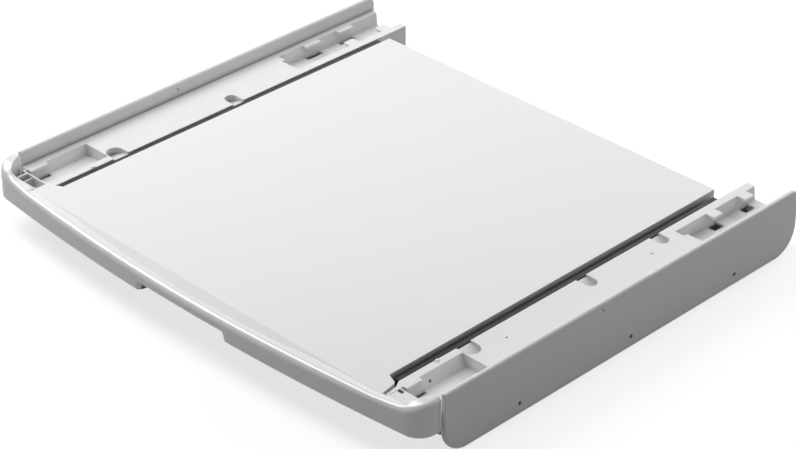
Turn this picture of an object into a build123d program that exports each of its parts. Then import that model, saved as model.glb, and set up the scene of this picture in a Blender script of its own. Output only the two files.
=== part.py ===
from build123d import *
from math import hypot, sqrt
import os

# Stacking kit with a pull-out shelf, in millimetres. X runs across the kit, Y from its front to its
# back and Z up. The origin is in the middle of the kit, level with the lower edges of the skirts.

# Every cutting shape reaches this far past the material that it cuts
over = 1.0

# Whole kit
kit_width = 610.0
kit_depth = 552.0
bar_depth = 42.8
seam_gap = 4.2

# Skirts: the side flanges that stand above the rails and hang below them
skirt_height = 70.0
skirt_thickness = 6.0
skirt_bead_radius = 2.5
skirt_front_radius = 30.0
skirt_rear_lower_radius = 30.0
skirt_rear_upper_radius = 9.0
skirt_low_hole_radius = 2.25
skirt_low_hole_height = 12.8
skirt_low_hole_pitch = 155.0
skirt_low_hole_count = 3
skirt_low_hole_centre_y = 24.5
skirt_high_hole_radius = 2.75
skirt_high_hole_drop = 8.0
skirt_high_hole_y = -19.5

# Rails
rail_width = 54.9
rail_height = 30.0
rail_drop = 15.7
rail_wall = 3.0
rail_rear_setback = 5.0
lip_width = 15.0
lip_end_setback = 6.0
nose_clearance = 3.0
nose_side_clearance = 13.5
nose_corner_radius = 4.5
rail_flare_length = 23.0
rail_flare_reach = 5.5
rail_knee_length = 15.8
rail_knee_reach = 4.1
tub_wall = 2.0
tub_floor = 2.5
rib_thickness = 2.0
rib_from_screw = 12.0

# Front foot pockets, placed from the front end of the rail
front_pocket_start = 16.5
front_pocket_length = 79.5
front_pocket_depth = 13.0
front_pocket_inner_margin = 8.7
front_pocket_outer_margin = 9.7
front_pocket_inner_draft = 5.2
front_pocket_outer_draft = 2.8
right_pocket_corner_radius = 15.0
left_pocket_corner_radius = 2.0

# Cells in the noses of the rails
cell_wall = 1.5
cell_depth = 10.0
cell_front_wall = 1.0
left_cell_width = 31.5
left_cell_divider = 10.0
right_cell_width = 9.0
right_cell_rib_pitch = 4.0
right_cell_rib_count = 3
cell_length = 14.0

# Half-round screw-access notches in the inner edges of the rails
front_notch_width = 19.0
front_notch_reach = 19.4
front_notch_gap = 1.0
middle_notch_width = 14.5
middle_notch_reach = 19.0
rear_notch_width = 13.5
rear_notch_reach = 17.6
notch_shallow = 2.0
notch_deep = 9.0

# Rear foot pockets, placed from the rear end of the rail, which they leave open
rear_pocket_depth = 15.0
rear_pocket_inner_margin = 9.9
rear_pocket_outer_margin = 8.0
rear_pocket_draft = 1.5
left_rear_pocket_length = 156.0
right_rear_pocket_length = 124.0
rear_pocket_step = 4.5
left_step_width = 11.0
right_step_width = 26.0

# Hook tabs over the pockets, with the moulding slots below them
tab_thickness = 3.0
outer_tab_reach = 6.5
inner_tab_reach = 10.5
outer_tab_length = 22.5
inner_tab_length = 14.0
outer_tabs_from_rear = 115.0
inner_tabs_from_rear = 77.4
outer_tab_pitch = 50.5
inner_tab_pitch = 49.0
slot_margin = 1.0
front_outer_tab_length = 23.0
front_outer_tab_reach = 5.3
front_inner_tab_length = 20.3
front_inner_tab_reach = 4.8
front_tab_from_pocket = 3.5
front_slot_reach = 3.9

# Small marks of the moulding on the right rail: two dimples in its top and a hole in its front pocket
dimple_radius = 1.5
dimple_depth = 0.8
dimple_from_inner_edge = 20.7
dimples_from_rear = (377.4, 171.9)
wall_hole_radius = 1.7
wall_hole_drop = 8.0
wall_hole_y = -197.8

# Shelf
shelf_rise = 2.3
shelf_plate = 3.0
shelf_wall = 3.0
shelf_wall_depth = 20.1
shelf_rear_setback = 42.0
shelf_corner_radius = 2.0
shelf_rib_thickness = 2.5
shelf_rib_depth = 10.0
across_rib_count = 8
along_rib_count = 9
rib_end_bite = 1.0
flare_runner_gap = 3.9
flare_shoulder_length = 2.6
flare_shoulder_gap = 0.6
flare_knee_length = 3.5
flare_knee_gap = 1.5
flare_front_gap = 0.5
flare_front_setback = 0.6

# Bowed front bar: the heights of its top edge are measured from the top of the rails
bow_sag = 17.3
bar_corner_radius = 20.4
bar_wall = 3.0
bar_edge_radius = 3.0
crescent_length = 22.7
crescent_slope_drop = 2.1
crescent_slope_run = 14.7
rim_side_width = 9.0
rim_front_width = 24.0
rim_start = 54.6
rim_corner_front = (29.0, 0.0)
rim_corner_middle = (22.5, -2.0)
rim_corner_back = (16.3, 5.0)
rim_side_start = 18.0
rim_steep_front = 5.0
rim_steep_back = 21.0
rim_tool_height = 40.0
rim_line_margin = 0.3
crown_height = 0.5
# Heights of the rim's top, each at a distance in from the kit's side: along the bar's face, along the
# rim's inner edge, and round its corners, where the distance runs along the diagonal
rim_face_heights = ((148.0, 2.0), (90.0, 3.5), (48.0, 5.0), (24.0, 7.5))
rim_inner_heights = ((177.0, 0.8), (106.0, 1.7), (55.0, 2.4), (36.4, 4.5), (29.0, 6.0))
rim_corner_heights = ((34.0, 8.5), (28.0, 10.8), (22.0, 12.6), (14.0, 14.6), (6.0, 15.7))

# Finger recess in the lower edge of the bar
recess_height = 10.3
recess_top_half_width = 52.5
recess_foot_half_width = 59.0
recess_mouth_depth = 8.7
recess_top_flare = 18.5
recess_foot_flare = 8.5
recess_depth = 17.0
recess_wall = 2.5

# Telescopic runners, one on each side of the shelf
runner_thickness = 11.3
runner_height = 27.0
runner_drop = 15.0
runner_front_gap = 5.0
runner_rear_gap = 8.0
runner_sheet = 1.2
middle_front_setback = 8.0
middle_height = 18.2
middle_offset = 2.2
middle_depth = 7.2
outer_flange_depth = 7.0
inner_height = 9.4
inner_depth = 6.7
bumper_from_rear = 11.7
bumper_length = 10.0
bumper_height = 12.0
bumper_depth = 9.3
bumper_gap = 0.3
ball_clearance = 0.1
cage_sheet = 0.6
cage_length = 220.0
outer_cage_start = 108.0
inner_cage_start = 113.0
outer_cage_offset = 1.4
outer_cage_depth = 5.2
inner_cage_offset = 3.7
inner_cage_depth = 5.9
outer_ball_offset = 4.6
inner_ball_offset = 7.4
row_ball_count = 10
cage_end_margin = 11.0

# Screws
screw_radius = 2.0
screw_head_radius = 3.5
screw_head_height = 2.4
screw_clearance = 0.1
screw_end_gap = 0.1
third_notch_pitch = 107.0
second_notch_pitch = 161.5
inner_screw_pitch = 150.0
inner_screw_count = 3
skirt_screw_pitch = 130.0
skirt_screw_count = 4
skirt_screw_centre_y = 5.0
skirt_screw_height = 7.2
skirt_screw_bite = 4.0

# Cross members of folded steel below the shelf
cross_sheet = 1.8
cross_width = 40.0
cross_flange_height = 5.7
cross_flange_end_gap = 18.0
front_cross_from_skirt_front = 39.0
rear_cross_from_rear = 92.0
cross_boss_radius = 4.5
cross_boss_height = 6.7
cross_screw_from_inner_edge = 11.9
cross_screw_from_side = 10.0
cross_screw_bite = 7.5

# Anti-slip pads between the rails and the machine below
pad_thickness = 5.0
pad_length = 60.0
pad_margin = 1.0
outer_pad_y = 185.0
inner_pad_y = 105.0

# Levels and lines that the pieces share
half_width = kit_width / 2
bow_radius = (half_width**2 + bow_sag**2) / (2 * bow_sag)
front_y = -kit_depth / 2
rear_y = kit_depth / 2
bar_back_y = front_y + bar_depth
corner_centre_x = half_width - bar_corner_radius
corner_centre_y = front_y + bow_radius - sqrt((bow_radius - bar_corner_radius) ** 2 - corner_centre_x**2)
skirt_front_y = bar_back_y + seam_gap
rail_top_z = skirt_height - rail_drop
rail_foot_z = rail_top_z - rail_height
rail_plate_z = rail_top_z - rail_wall
rail_outer_x = half_width - skirt_thickness
rail_inner_x = rail_outer_x - rail_width
rail_inner_face_x = rail_inner_x + rail_wall
rail_outer_face_x = rail_outer_x - rail_wall
rail_rear_y = rear_y - rail_rear_setback
lip_top_z = rail_foot_z + rail_wall
lip_rear_y = rail_rear_y - lip_end_setback
rim_inner_y = front_y + rim_front_width
nose_front_y = rim_inner_y + nose_clearance
shelf_half_width = rail_inner_x - runner_thickness
shelf_top_z = rail_top_z + shelf_rise
shelf_plate_z = shelf_top_z - shelf_plate
shelf_foot_z = shelf_plate_z - shelf_wall_depth
shelf_rear_y = rear_y - shelf_rear_setback
crescent_y = front_y + crescent_length
runner_z = rail_top_z - runner_drop
runner_front_y = skirt_front_y + runner_front_gap
runner_rear_y = shelf_rear_y - runner_rear_gap
middle_front_y = runner_front_y + middle_front_setback
bumper_front_y = runner_rear_y - bumper_from_rear - bumper_length
member_rear_y = bumper_front_y - bumper_gap
front_pocket_front_y = nose_front_y + front_pocket_start
front_pocket_rear_y = front_pocket_front_y + front_pocket_length
front_pocket_x = (rail_inner_x + front_pocket_inner_margin, rail_outer_x - front_pocket_outer_margin)
rear_pocket_x = (rail_inner_x + rear_pocket_inner_margin, rail_outer_x - rear_pocket_outer_margin)
rear_pocket_z = rail_top_z - rear_pocket_depth
cell_back_y = front_pocket_front_y - cell_wall
cell_x = rail_inner_x + rail_flare_reach + rail_wall
first_screw_y = front_pocket_rear_y + front_notch_gap + front_notch_width / 2
runner_screw_ys = (first_screw_y, first_screw_y + second_notch_pitch,
                   first_screw_y + second_notch_pitch + third_notch_pitch)
front_cross_y = skirt_front_y + front_cross_from_skirt_front
rear_cross_y = rear_y - rear_cross_from_rear
cross_screw_x = rail_inner_x + cross_screw_from_inner_edge
cross_screw_ys = [y + side * cross_screw_from_side
                  for y in (front_cross_y, rear_cross_y) for side in (-1, 1)]
rim_start_x = half_width - rim_start
ball_pitch = (cage_length - 2 * cage_end_margin) / (row_ball_count - 1)
outer_ball_height = (runner_height / 2 - runner_sheet + middle_height / 2) / 2
inner_ball_height = (middle_height / 2 - runner_sheet + inner_height / 2) / 2
ball_radius = (runner_height / 2 - runner_sheet - middle_height / 2) / 2 - ball_clearance
cages = (
    ("outer", outer_cage_start, outer_cage_offset, outer_cage_depth, outer_ball_height, outer_ball_offset),
    ("inner", inner_cage_start, inner_cage_offset, inner_cage_depth, inner_ball_height, inner_ball_offset),
)


def spread(centre, pitch, count):
    """Evenly spaced places on both sides of a centre."""
    return [centre + pitch * (i - (count - 1) / 2) for i in range(count)]


inner_screw_ys = spread((runner_front_y + member_rear_y) / 2, inner_screw_pitch, inner_screw_count)
skirt_screw_ys = spread(skirt_screw_centre_y, skirt_screw_pitch, skirt_screw_count)


def block(x_low, x_high, y_low, y_high, z_low, z_high):
    """A box given by its low and high sides."""
    size = (x_high - x_low, y_high - y_low, z_high - z_low)
    middle = ((x_low + x_high) / 2, (y_low + y_high) / 2, (z_low + z_high) / 2)
    return Pos(*middle) * Box(*size)


def along_y(points, y_low, y_high):
    """An outline in X and Z carried along Y."""
    outline = [(x, y_low, z) for x, z in points]
    return extrude(make_face(Polyline(*outline, close=True)), y_high - y_low, dir=(0, 1, 0))


def rod_x(x_low, x_high, y, z, radius):
    """A round rod along X."""
    return Pos((x_low + x_high) / 2, y, z) * Rot(0, 90, 0) * Cylinder(radius, x_high - x_low)


def rod_z(z_low, z_high, x, y, radius):
    """A round rod along Z."""
    return Pos(x, y, (z_low + z_high) / 2) * Cylinder(radius, z_high - z_low)


def mirrored(shape):
    """The same shape on the left side of the kit."""
    return mirror(shape, about=Plane.YZ)


def save(shapes, name):
    """Write the solids of one piece, or of one group of like pieces, to its file."""
    shapes = shapes if isinstance(shapes, list) else [shapes]
    solids = [solid for shape in shapes for solid in shape.solids()]
    export_step(solids[0] if len(solids) == 1 else Compound(solids), f"parts/{name}.step")


def right_skirt():
    """The side flange with its rounded corners, its bead and its screw holes."""
    plate = block(rail_outer_x, half_width, skirt_front_y, rear_y, 0, skirt_height)
    low_front = plate.edges().filter_by(Axis.X).group_by(Axis.Z)[0].sort_by(Axis.Y)[0]
    plate = fillet(low_front, skirt_front_radius)
    low_rear = plate.edges().filter_by(Axis.X).group_by(Axis.Z)[0].sort_by(Axis.Y)[-1]
    plate = fillet(low_rear, skirt_rear_lower_radius)
    high_rear = plate.edges().filter_by(Axis.X).group_by(Axis.Z)[-1].sort_by(Axis.Y)[-1]
    plate = fillet(high_rear, skirt_rear_upper_radius)
    top = plate.edges().filter_by(Axis.Y).group_by(Axis.Z)[-1]
    plate = fillet(top, skirt_bead_radius)
    inside = rail_outer_x - over
    outside = half_width + over
    for y in spread(skirt_low_hole_centre_y, skirt_low_hole_pitch, skirt_low_hole_count):
        plate -= rod_x(inside, outside, y, skirt_low_hole_height, skirt_low_hole_radius)
    high_z = skirt_height - skirt_high_hole_drop
    plate -= rod_x(inside, outside, skirt_high_hole_y, high_z, skirt_high_hole_radius)
    for y in skirt_screw_ys:
        end = rail_outer_x + skirt_screw_bite + screw_end_gap
        plate -= rod_x(inside, end, y, rail_foot_z + skirt_screw_height, screw_radius + screw_clearance)
    return plate


def rail_outline():
    """Plan of the rail: its inner edge opens out at the front and its nose fits inside the bar's rim."""
    nose_x = rail_outer_x - nose_side_clearance
    nose_back_y = skirt_front_y
    pocket_x = front_pocket_x[1] + tub_wall
    pocket_y = front_pocket_front_y - tub_wall
    r = nose_corner_radius
    return [
        (rail_inner_x, rail_rear_y),
        (rail_inner_x, nose_front_y + rail_flare_length),
        (rail_inner_x + rail_knee_reach, nose_front_y + rail_knee_length),
        (rail_inner_x + rail_flare_reach, nose_front_y),
        (nose_x - r, nose_front_y),
        (nose_x, nose_front_y + r),
        (nose_x, pocket_y),
        (pocket_x, pocket_y),
        (pocket_x, nose_back_y),
        (rail_outer_x, nose_back_y),
        (rail_outer_x, rail_rear_y),
    ]


def front_pocket(corner_radius, wall=0, floor=0):
    """The space of the front foot pocket, or with a wall and a floor the tub that holds it."""
    x_low, x_high = front_pocket_x[0] - wall, front_pocket_x[1] + wall
    y_low, y_high = front_pocket_front_y - wall, front_pocket_rear_y + wall
    z, depth = rail_top_z, front_pocket_depth + floor
    section = [(x_low, z + over), (x_high, z + over), (x_high, z),
               (x_high - front_pocket_outer_draft, z - depth),
               (x_low + front_pocket_inner_draft, z - depth), (x_low, z)]
    plan = Pos((x_low + x_high) / 2, (y_low + y_high) / 2) * Rectangle(x_high - x_low, y_high - y_low)
    outer_front = plan.vertices().group_by(Axis.Y)[0].sort_by(Axis.X)[-1]
    plan = fillet(outer_front, corner_radius)
    return along_y(section, y_low, y_high) & (Pos(0, 0, z - depth) * extrude(plan, depth + over))


def rear_pocket(start_y, step_width):
    """The space of the rear foot pocket: open at the rail's end and stepped in at its outer front."""
    x_low, x_high = rear_pocket_x
    z, draft = rail_top_z, rear_pocket_draft
    section = [(x_low, z + over), (x_high, z + over), (x_high, z), (x_high - draft, rear_pocket_z),
               (x_low + draft, rear_pocket_z), (x_low, z)]
    space = along_y(section, start_y, rail_rear_y + over)
    return space - block(x_high - step_width, x_high + over, start_y - over, start_y + rear_pocket_step, 0,
                         skirt_height)


def notch_plan(width, reach, y, margin):
    """Plan of a half-round notch that opens at the inner edge of the rail."""
    radius = width / 2 + margin
    length = reach - width / 2
    slot = Pos(rail_inner_x + length / 2, y) * Rectangle(length, 2 * radius)
    round_end = Pos(rail_inner_x + length, y) * Circle(radius)
    beside = Pos(rail_inner_x + half_width / 2, y) * Rectangle(half_width, 2 * radius)
    return slot + (round_end & beside)


def notch_tub(width, reach, y):
    """Material that a notch is sunk into."""
    height = notch_deep + tub_wall
    return Pos(0, 0, rail_top_z - height) * extrude(notch_plan(width, reach, y, tub_wall), height)


def notch_space(width, reach, y):
    """The dished space of a notch, deeper away from the edge."""
    z = rail_top_z
    start_x, end_x = rail_inner_x - over, rail_inner_x + reach + over
    section = [(start_x, z + over), (end_x, z + over), (end_x, z - notch_deep), (start_x, z - notch_shallow)]
    wedge = along_y(section, y - width, y + width)
    height = notch_deep + 2 * over
    column = Pos(0, 0, z - notch_deep - over) * extrude(notch_plan(width, reach, y, 0), height)
    edge = block(start_x, rail_inner_x, y - width / 2, y + width / 2, z - notch_deep - over, z + over)
    return wedge & (column + edge)


def tabs(x_root, reach, places, length):
    """Hook tabs that reach out from a pocket wall: reach is positive towards +X."""
    x_low, x_high = sorted((x_root, x_root + reach))
    return [block(x_low, x_high, y, y + length, rail_top_z - tab_thickness, rail_top_z) for y in places]


def slots(x_root, reach, places, length, z_floor):
    """Moulding slots through the pocket floor below the tabs."""
    x_low, x_high = sorted((x_root, x_root + reach))
    return [block(x_low, x_high, y + slot_margin, y + length + slot_margin, z_floor - tub_floor - over,
                  z_floor + over) for y in places]


def rail_shell():
    """The rail's top and walls, open below, with its foot lips, its ribs and its screw bosses."""
    plan = make_face(Polyline(*rail_outline(), close=True))
    body = Pos(0, 0, rail_foot_z) * extrude(plan, rail_height)
    body -= Pos(0, 0, rail_foot_z) * extrude(offset(plan, -rail_wall), rail_height - rail_wall)
    inner_lip_front_y = nose_front_y + rail_flare_length
    outer_lip_front_y = skirt_front_y + lip_end_setback
    body += block(rail_inner_face_x, rail_inner_face_x + lip_width, inner_lip_front_y, lip_rear_y, rail_foot_z,
                  lip_top_z)
    body += block(rail_outer_face_x - lip_width, rail_outer_face_x, outer_lip_front_y, lip_rear_y, rail_foot_z,
                  lip_top_z)
    for screw_y in runner_screw_ys:
        for y in (screw_y - rib_from_screw, screw_y + rib_from_screw):
            body += block(rail_inner_face_x, rail_outer_face_x, y - rib_thickness / 2, y + rib_thickness / 2,
                          lip_top_z, rail_plate_z)
    for y in cross_screw_ys:
        body += rod_z(rail_foot_z, lip_top_z + cross_boss_height, cross_screw_x, y, cross_boss_radius)
    return body


def nose_cell(width):
    """The block in the rail's nose that an open cell is sunk into, and the cell's space."""
    x_high = cell_x + width
    floor_z = rail_top_z - cell_depth
    solid = block(cell_x, x_high, nose_front_y + cell_front_wall, cell_back_y + cell_front_wall,
                  floor_z - tub_wall, rail_top_z)
    space = block(cell_x + cell_wall / 2, x_high - cell_wall, cell_back_y + cell_wall - cell_length,
                  cell_back_y, floor_z, rail_top_z + over)
    return solid, space


def left_cell():
    """The left nose's cell with its one divider."""
    solid, space = nose_cell(left_cell_width)
    divider_x = cell_x + left_cell_width - left_cell_divider
    return solid, space - block(divider_x, divider_x + cell_wall, front_y, rear_y, 0, rail_top_z - cell_wall)


def right_cell():
    """The right nose's narrow cell with its row of low ribs."""
    solid, space = nose_cell(right_cell_width)
    for k in range(right_cell_rib_count):
        y = cell_back_y - right_cell_rib_pitch * (k + 1)
        space -= block(rail_inner_x, rail_outer_x, y - cell_wall / 2, y + cell_wall / 2, 0,
                       rail_top_z - cell_wall)
    return solid, space


def rear_hooks():
    """The tabs over the rear pocket and the slots through its floor below them."""
    outer_ys = [rail_rear_y - outer_tabs_from_rear + outer_tab_pitch * k for k in (0, 1)]
    inner_ys = [rail_rear_y - inner_tabs_from_rear + inner_tab_pitch * k for k in (0, 1)]
    x_low, x_high = rear_pocket_x
    hooks = tabs(x_high + tub_wall, -outer_tab_reach - tub_wall, outer_ys, outer_tab_length)
    hooks += tabs(x_low - tub_wall, inner_tab_reach + tub_wall, inner_ys, inner_tab_length)
    cuts = slots(x_high - rear_pocket_draft, -outer_tab_reach, outer_ys, outer_tab_length, rear_pocket_z)
    cuts += slots(x_low + rear_pocket_draft, inner_tab_reach, inner_ys, inner_tab_length, rear_pocket_z)
    return hooks, cuts


def front_hook(left):
    """The tab over the front pocket, on its outer side on the left rail and its inner side on the right."""
    y = [front_pocket_front_y + front_tab_from_pocket]
    z = rail_top_z - front_pocket_depth
    x_low, x_high = front_pocket_x
    if left:
        hook = tabs(x_high + tub_wall, -front_outer_tab_reach - tub_wall, y, front_outer_tab_length)
        return hook, slots(x_high - front_pocket_outer_draft, -front_outer_tab_reach, y,
                           front_outer_tab_length, z)
    hook = tabs(x_low - tub_wall, front_inner_tab_reach + tub_wall, y, front_inner_tab_length)
    return hook, slots(x_low + front_pocket_inner_draft, front_slot_reach, y, front_inner_tab_length, z)


def right_marks():
    """The dimples in the right rail's top and the small hole in its front pocket's inner wall."""
    marks = [rod_z(rail_top_z - dimple_depth, rail_top_z + over, rail_inner_x + dimple_from_inner_edge,
                   rail_rear_y - from_rear, dimple_radius) for from_rear in dimples_from_rear]
    x_low = front_pocket_x[0]
    marks.append(rod_x(x_low - tub_wall, x_low + front_pocket_inner_draft, wall_hole_y,
                       rail_top_z - wall_hole_drop, wall_hole_radius))
    return marks


def rail_screw_holes():
    """Holes for the screws of the runner, the skirt and the cross members."""
    hole = screw_radius + screw_clearance
    holes = [rod_x(rail_inner_x - over, rail_inner_face_x + over, y, runner_z, hole) for y in runner_screw_ys]
    holes += [rod_x(rail_outer_face_x - over, rail_outer_x + over, y, rail_foot_z + skirt_screw_height, hole)
              for y in skirt_screw_ys]
    top = rail_foot_z + cross_screw_bite + screw_end_gap
    return holes + [rod_z(rail_foot_z - over, top, cross_screw_x, y, hole) for y in cross_screw_ys]


def rail(left):
    """One side rail, drawn on the right: the two rails differ in their cells, notches and pockets."""
    body = rail_shell()
    corner_radius = left_pocket_corner_radius if left else right_pocket_corner_radius
    within = block(rail_inner_x, rail_outer_x, front_y, rear_y, rail_foot_z, rail_top_z)
    body += front_pocket(corner_radius, tub_wall, tub_floor) & within
    start_y = rail_rear_y - (left_rear_pocket_length if left else right_rear_pocket_length)
    body += block(rear_pocket_x[0] - tub_wall, rear_pocket_x[1] + tub_wall, start_y - tub_wall, rail_rear_y,
                  rear_pocket_z - tub_floor, rail_top_z)
    notches = [(front_notch_width, front_notch_reach, runner_screw_ys[0]),
               (middle_notch_width, middle_notch_reach, runner_screw_ys[1])]
    if not left:
        notches.append((rear_notch_width, rear_notch_reach, runner_screw_ys[2]))
    cell_solid, cell_space = left_cell() if left else right_cell()
    for solid in [notch_tub(*notch) for notch in notches] + [cell_solid]:
        body += solid
    rear_space = rear_pocket(start_y, left_step_width if left else right_step_width)
    spaces = [notch_space(*notch) for notch in notches]
    for space in spaces + [cell_space, front_pocket(corner_radius), rear_space]:
        body -= space
    rear_tabs, rear_cuts = rear_hooks()
    front_tabs, front_cuts = front_hook(left)
    for hook in rear_tabs + front_tabs:
        body += hook
    cuts = rear_cuts + front_cuts + rail_screw_holes()
    if not left:
        cuts += right_marks()
    for cut in cuts:
        body -= cut
    return mirrored(body) if left else body


def bar_plan():
    """Plan of the front bar: a long bow with round corners that turn back along the sides."""
    middle_y = (front_y + bar_back_y) / 2
    slab = Pos(0, middle_y) * Rectangle(kit_width, bar_depth)
    plan = slab & Pos(0, front_y + bow_radius) * Circle(bow_radius)
    plan = fillet(plan.vertices().sort_by(Axis.Y)[:2], bar_corner_radius)
    plan -= block_plan(rim_start_x, crescent_y, bar_back_y)
    for side in (1, -1):
        front, middle, back = [(side * (half_width - dx), rim_inner_y + dy) for dx, dy in
                               (rim_corner_front, rim_corner_middle, rim_corner_back)]
        start = (side * rim_start_x, rim_inner_y)
        side_x = side * (half_width - rim_side_width)
        side_y = rim_inner_y + rim_side_start
        room_y = bar_back_y + over
        room = Curve() + [
            Line((start[0], room_y), start),
            Line(start, front),
            ThreePointArc(front, middle, back),
            Line(back, (side_x, side_y)),
            Line((side_x, side_y), (side_x, room_y)),
            Line((side_x, room_y), (start[0], room_y)),
        ]
        plan -= make_face(room)
    return plan


def block_plan(x, y_low, y_high):
    """A rectangle in plan that reaches as far to the left as to the right."""
    return Pos(0, (y_low + y_high) / 2) * Rectangle(2 * x, y_high - y_low)


def above_curve(heights, y, steep_x):
    """The face above a rim profile, standing across the kit at y."""
    points = [(half_width - d, h) for d, h in heights]
    curve = [(-x, y, rail_top_z + h) for x, h in reversed(points)]
    curve += [(0, y, rail_top_z + crown_height)]
    curve += [(x, y, rail_top_z + h) for x, h in points]
    top = rail_top_z + rim_tool_height
    low = skirt_height + over
    outline = Curve() + [
        Spline(*curve),
        Line(curve[-1], (steep_x, y, low)),
        Line((steep_x, y, low), (steep_x, y, top)),
        Line((steep_x, y, top), (-steep_x, y, top)),
        Line((-steep_x, y, top), (-steep_x, y, low)),
        Line((-steep_x, y, low), curve[0]),
    ]
    return make_face(outline)


def rim_tools():
    """What lies above the bar's top: a ruled body over its length and one across each corner."""
    face = above_curve(rim_face_heights, front_y - over, half_width - rim_steep_front)
    inner = above_curve(rim_inner_heights, rim_inner_y + over, half_width - rim_steep_back)
    tools = [loft([face, inner], ruled=True)]
    curve = [(-d, h) for d, h in rim_corner_heights]
    far = -half_width
    corner = Curve() + [
        Line((far, curve[0][1]), curve[0]),
        Spline(*curve, tangents=[(1, 1), (1, 0)]),
        Line(curve[-1], (half_width, curve[-1][1])),
        Line((half_width, curve[-1][1]), (half_width, rim_tool_height)),
        Line((half_width, rim_tool_height), (far, rim_tool_height)),
        Line((far, rim_tool_height), (far, curve[0][1])),
    ]
    for side in (1, -1):
        plane = Plane(origin=(side * half_width, bar_back_y, rail_top_z), x_dir=(side, 1, 0),
                      z_dir=(1, -side, 0))
        face = plane * make_face(corner)
        tools.append(extrude(face, half_width / 2, both=True))
    return tools


def on_top_edge(edge):
    """Whether an edge lies on the outer line of the bar's top, along the bow or round a corner."""
    middle = edge.position_at(0.5)
    start, end = edge.start_point(), edge.end_point()
    upright = hypot(start.X - end.X, start.Y - end.Y) < rim_line_margin
    if upright or middle.Z < shelf_foot_z + recess_height:
        return False
    x = abs(middle.X)
    if x < corner_centre_x:
        return abs(hypot(x, middle.Y - front_y - bow_radius) - bow_radius) < rim_line_margin
    if middle.Y > corner_centre_y:
        return abs(x - half_width) < rim_line_margin
    return abs(hypot(x - corner_centre_x, middle.Y - corner_centre_y) - bar_corner_radius) < rim_line_margin


def front_bar():
    """The bowed bar with its raised corners and rounded top edge, hollow from below."""
    plan = bar_plan()
    tools = rim_tools()
    bar = Pos(0, 0, shelf_foot_z) * extrude(plan, skirt_height - shelf_foot_z)
    for tool in tools:
        bar -= tool
    hollow = Pos(0, 0, shelf_foot_z) * extrude(offset(plan, -bar_wall), skirt_height - shelf_foot_z)
    for tool in tools:
        hollow -= Pos(0, 0, -bar_wall) * tool
    hollow -= block(-half_width, half_width, front_y, rear_y, skirt_height - bar_wall, skirt_height + over)
    bar -= hollow
    return fillet([edge for edge in bar.edges() if on_top_edge(edge)], bar_edge_radius)


def recess_level(half, flare, margin, z):
    """The recess at one level: its ends open out towards the bar's face in a quarter of an ellipse."""
    half += margin
    mouth_y = front_y + recess_mouth_depth + margin
    back_y = front_y + recess_depth + margin
    lines = Curve() + [
        Line((-half - flare, front_y - over), (half + flare, front_y - over)),
        Line((half + flare, front_y - over), (half + flare, front_y)),
        EllipticalCenterArc((half + flare, mouth_y), flare, mouth_y - front_y, start_angle=180, arc_size=90),
        Line((half, mouth_y), (half, back_y)),
        Line((half, back_y), (-half, back_y)),
        Line((-half, back_y), (-half, mouth_y)),
        EllipticalCenterArc((-half - flare, mouth_y), flare, mouth_y - front_y, start_angle=270, arc_size=90),
        Line((-half - flare, front_y), (-half - flare, front_y - over)),
    ]
    return Pos(0, 0, z) * make_face(lines)


def recess(margin):
    """The finger recess as a solid that stands on the bar's lower edge, with flared ends."""
    foot = recess_level(recess_foot_half_width, recess_foot_flare, margin, shelf_foot_z)
    top = recess_level(recess_top_half_width, recess_top_flare, margin, shelf_foot_z + recess_height + margin)
    return loft([foot, top], ruled=True)


def recess_foot():
    """A shallow band below the recess that keeps its lower edge open."""
    foot = recess_level(recess_foot_half_width, recess_foot_flare, 0, shelf_foot_z - over)
    return extrude(foot, over)


def shelf_outline():
    """Plan of the flat shelf, with shoulders that widen in front of the runners."""
    flare_y = nose_front_y + rail_flare_length
    knee_y = nose_front_y + rail_knee_length
    right = [
        (shelf_half_width, shelf_rear_y),
        (shelf_half_width, runner_front_y - flare_runner_gap),
        (rail_inner_x - flare_shoulder_gap, runner_front_y - flare_runner_gap - flare_shoulder_length),
        (rail_inner_x + rail_knee_reach - flare_knee_gap, knee_y - flare_front_setback),
        (rail_inner_x + rail_flare_reach - flare_front_gap, nose_front_y + flare_front_setback),
        (rim_start_x, rim_inner_y),
        (rim_start_x, crescent_y),
    ]
    return right + [(-x, y) for x, y in reversed(right)]


def crescent():
    """The facet that slopes down from the flat shelf to the bar's crown."""
    front = crescent_y - crescent_slope_run
    points = [(crescent_y, shelf_top_z), (crescent_y, shelf_plate_z),
              (front, shelf_plate_z - crescent_slope_drop), (front, shelf_top_z - crescent_slope_drop)]
    outline = [(-rim_start_x, y, z) for y, z in points]
    wedge = extrude(make_face(Polyline(*outline, close=True)), 2 * rim_start_x, dir=(1, 0, 0))
    bow = Pos(0, front_y + bow_radius) * Circle(bow_radius)
    slab = block_plan(half_width, front_y - over, bar_back_y) & bow
    return wedge & extrude(slab, skirt_height)


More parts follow.
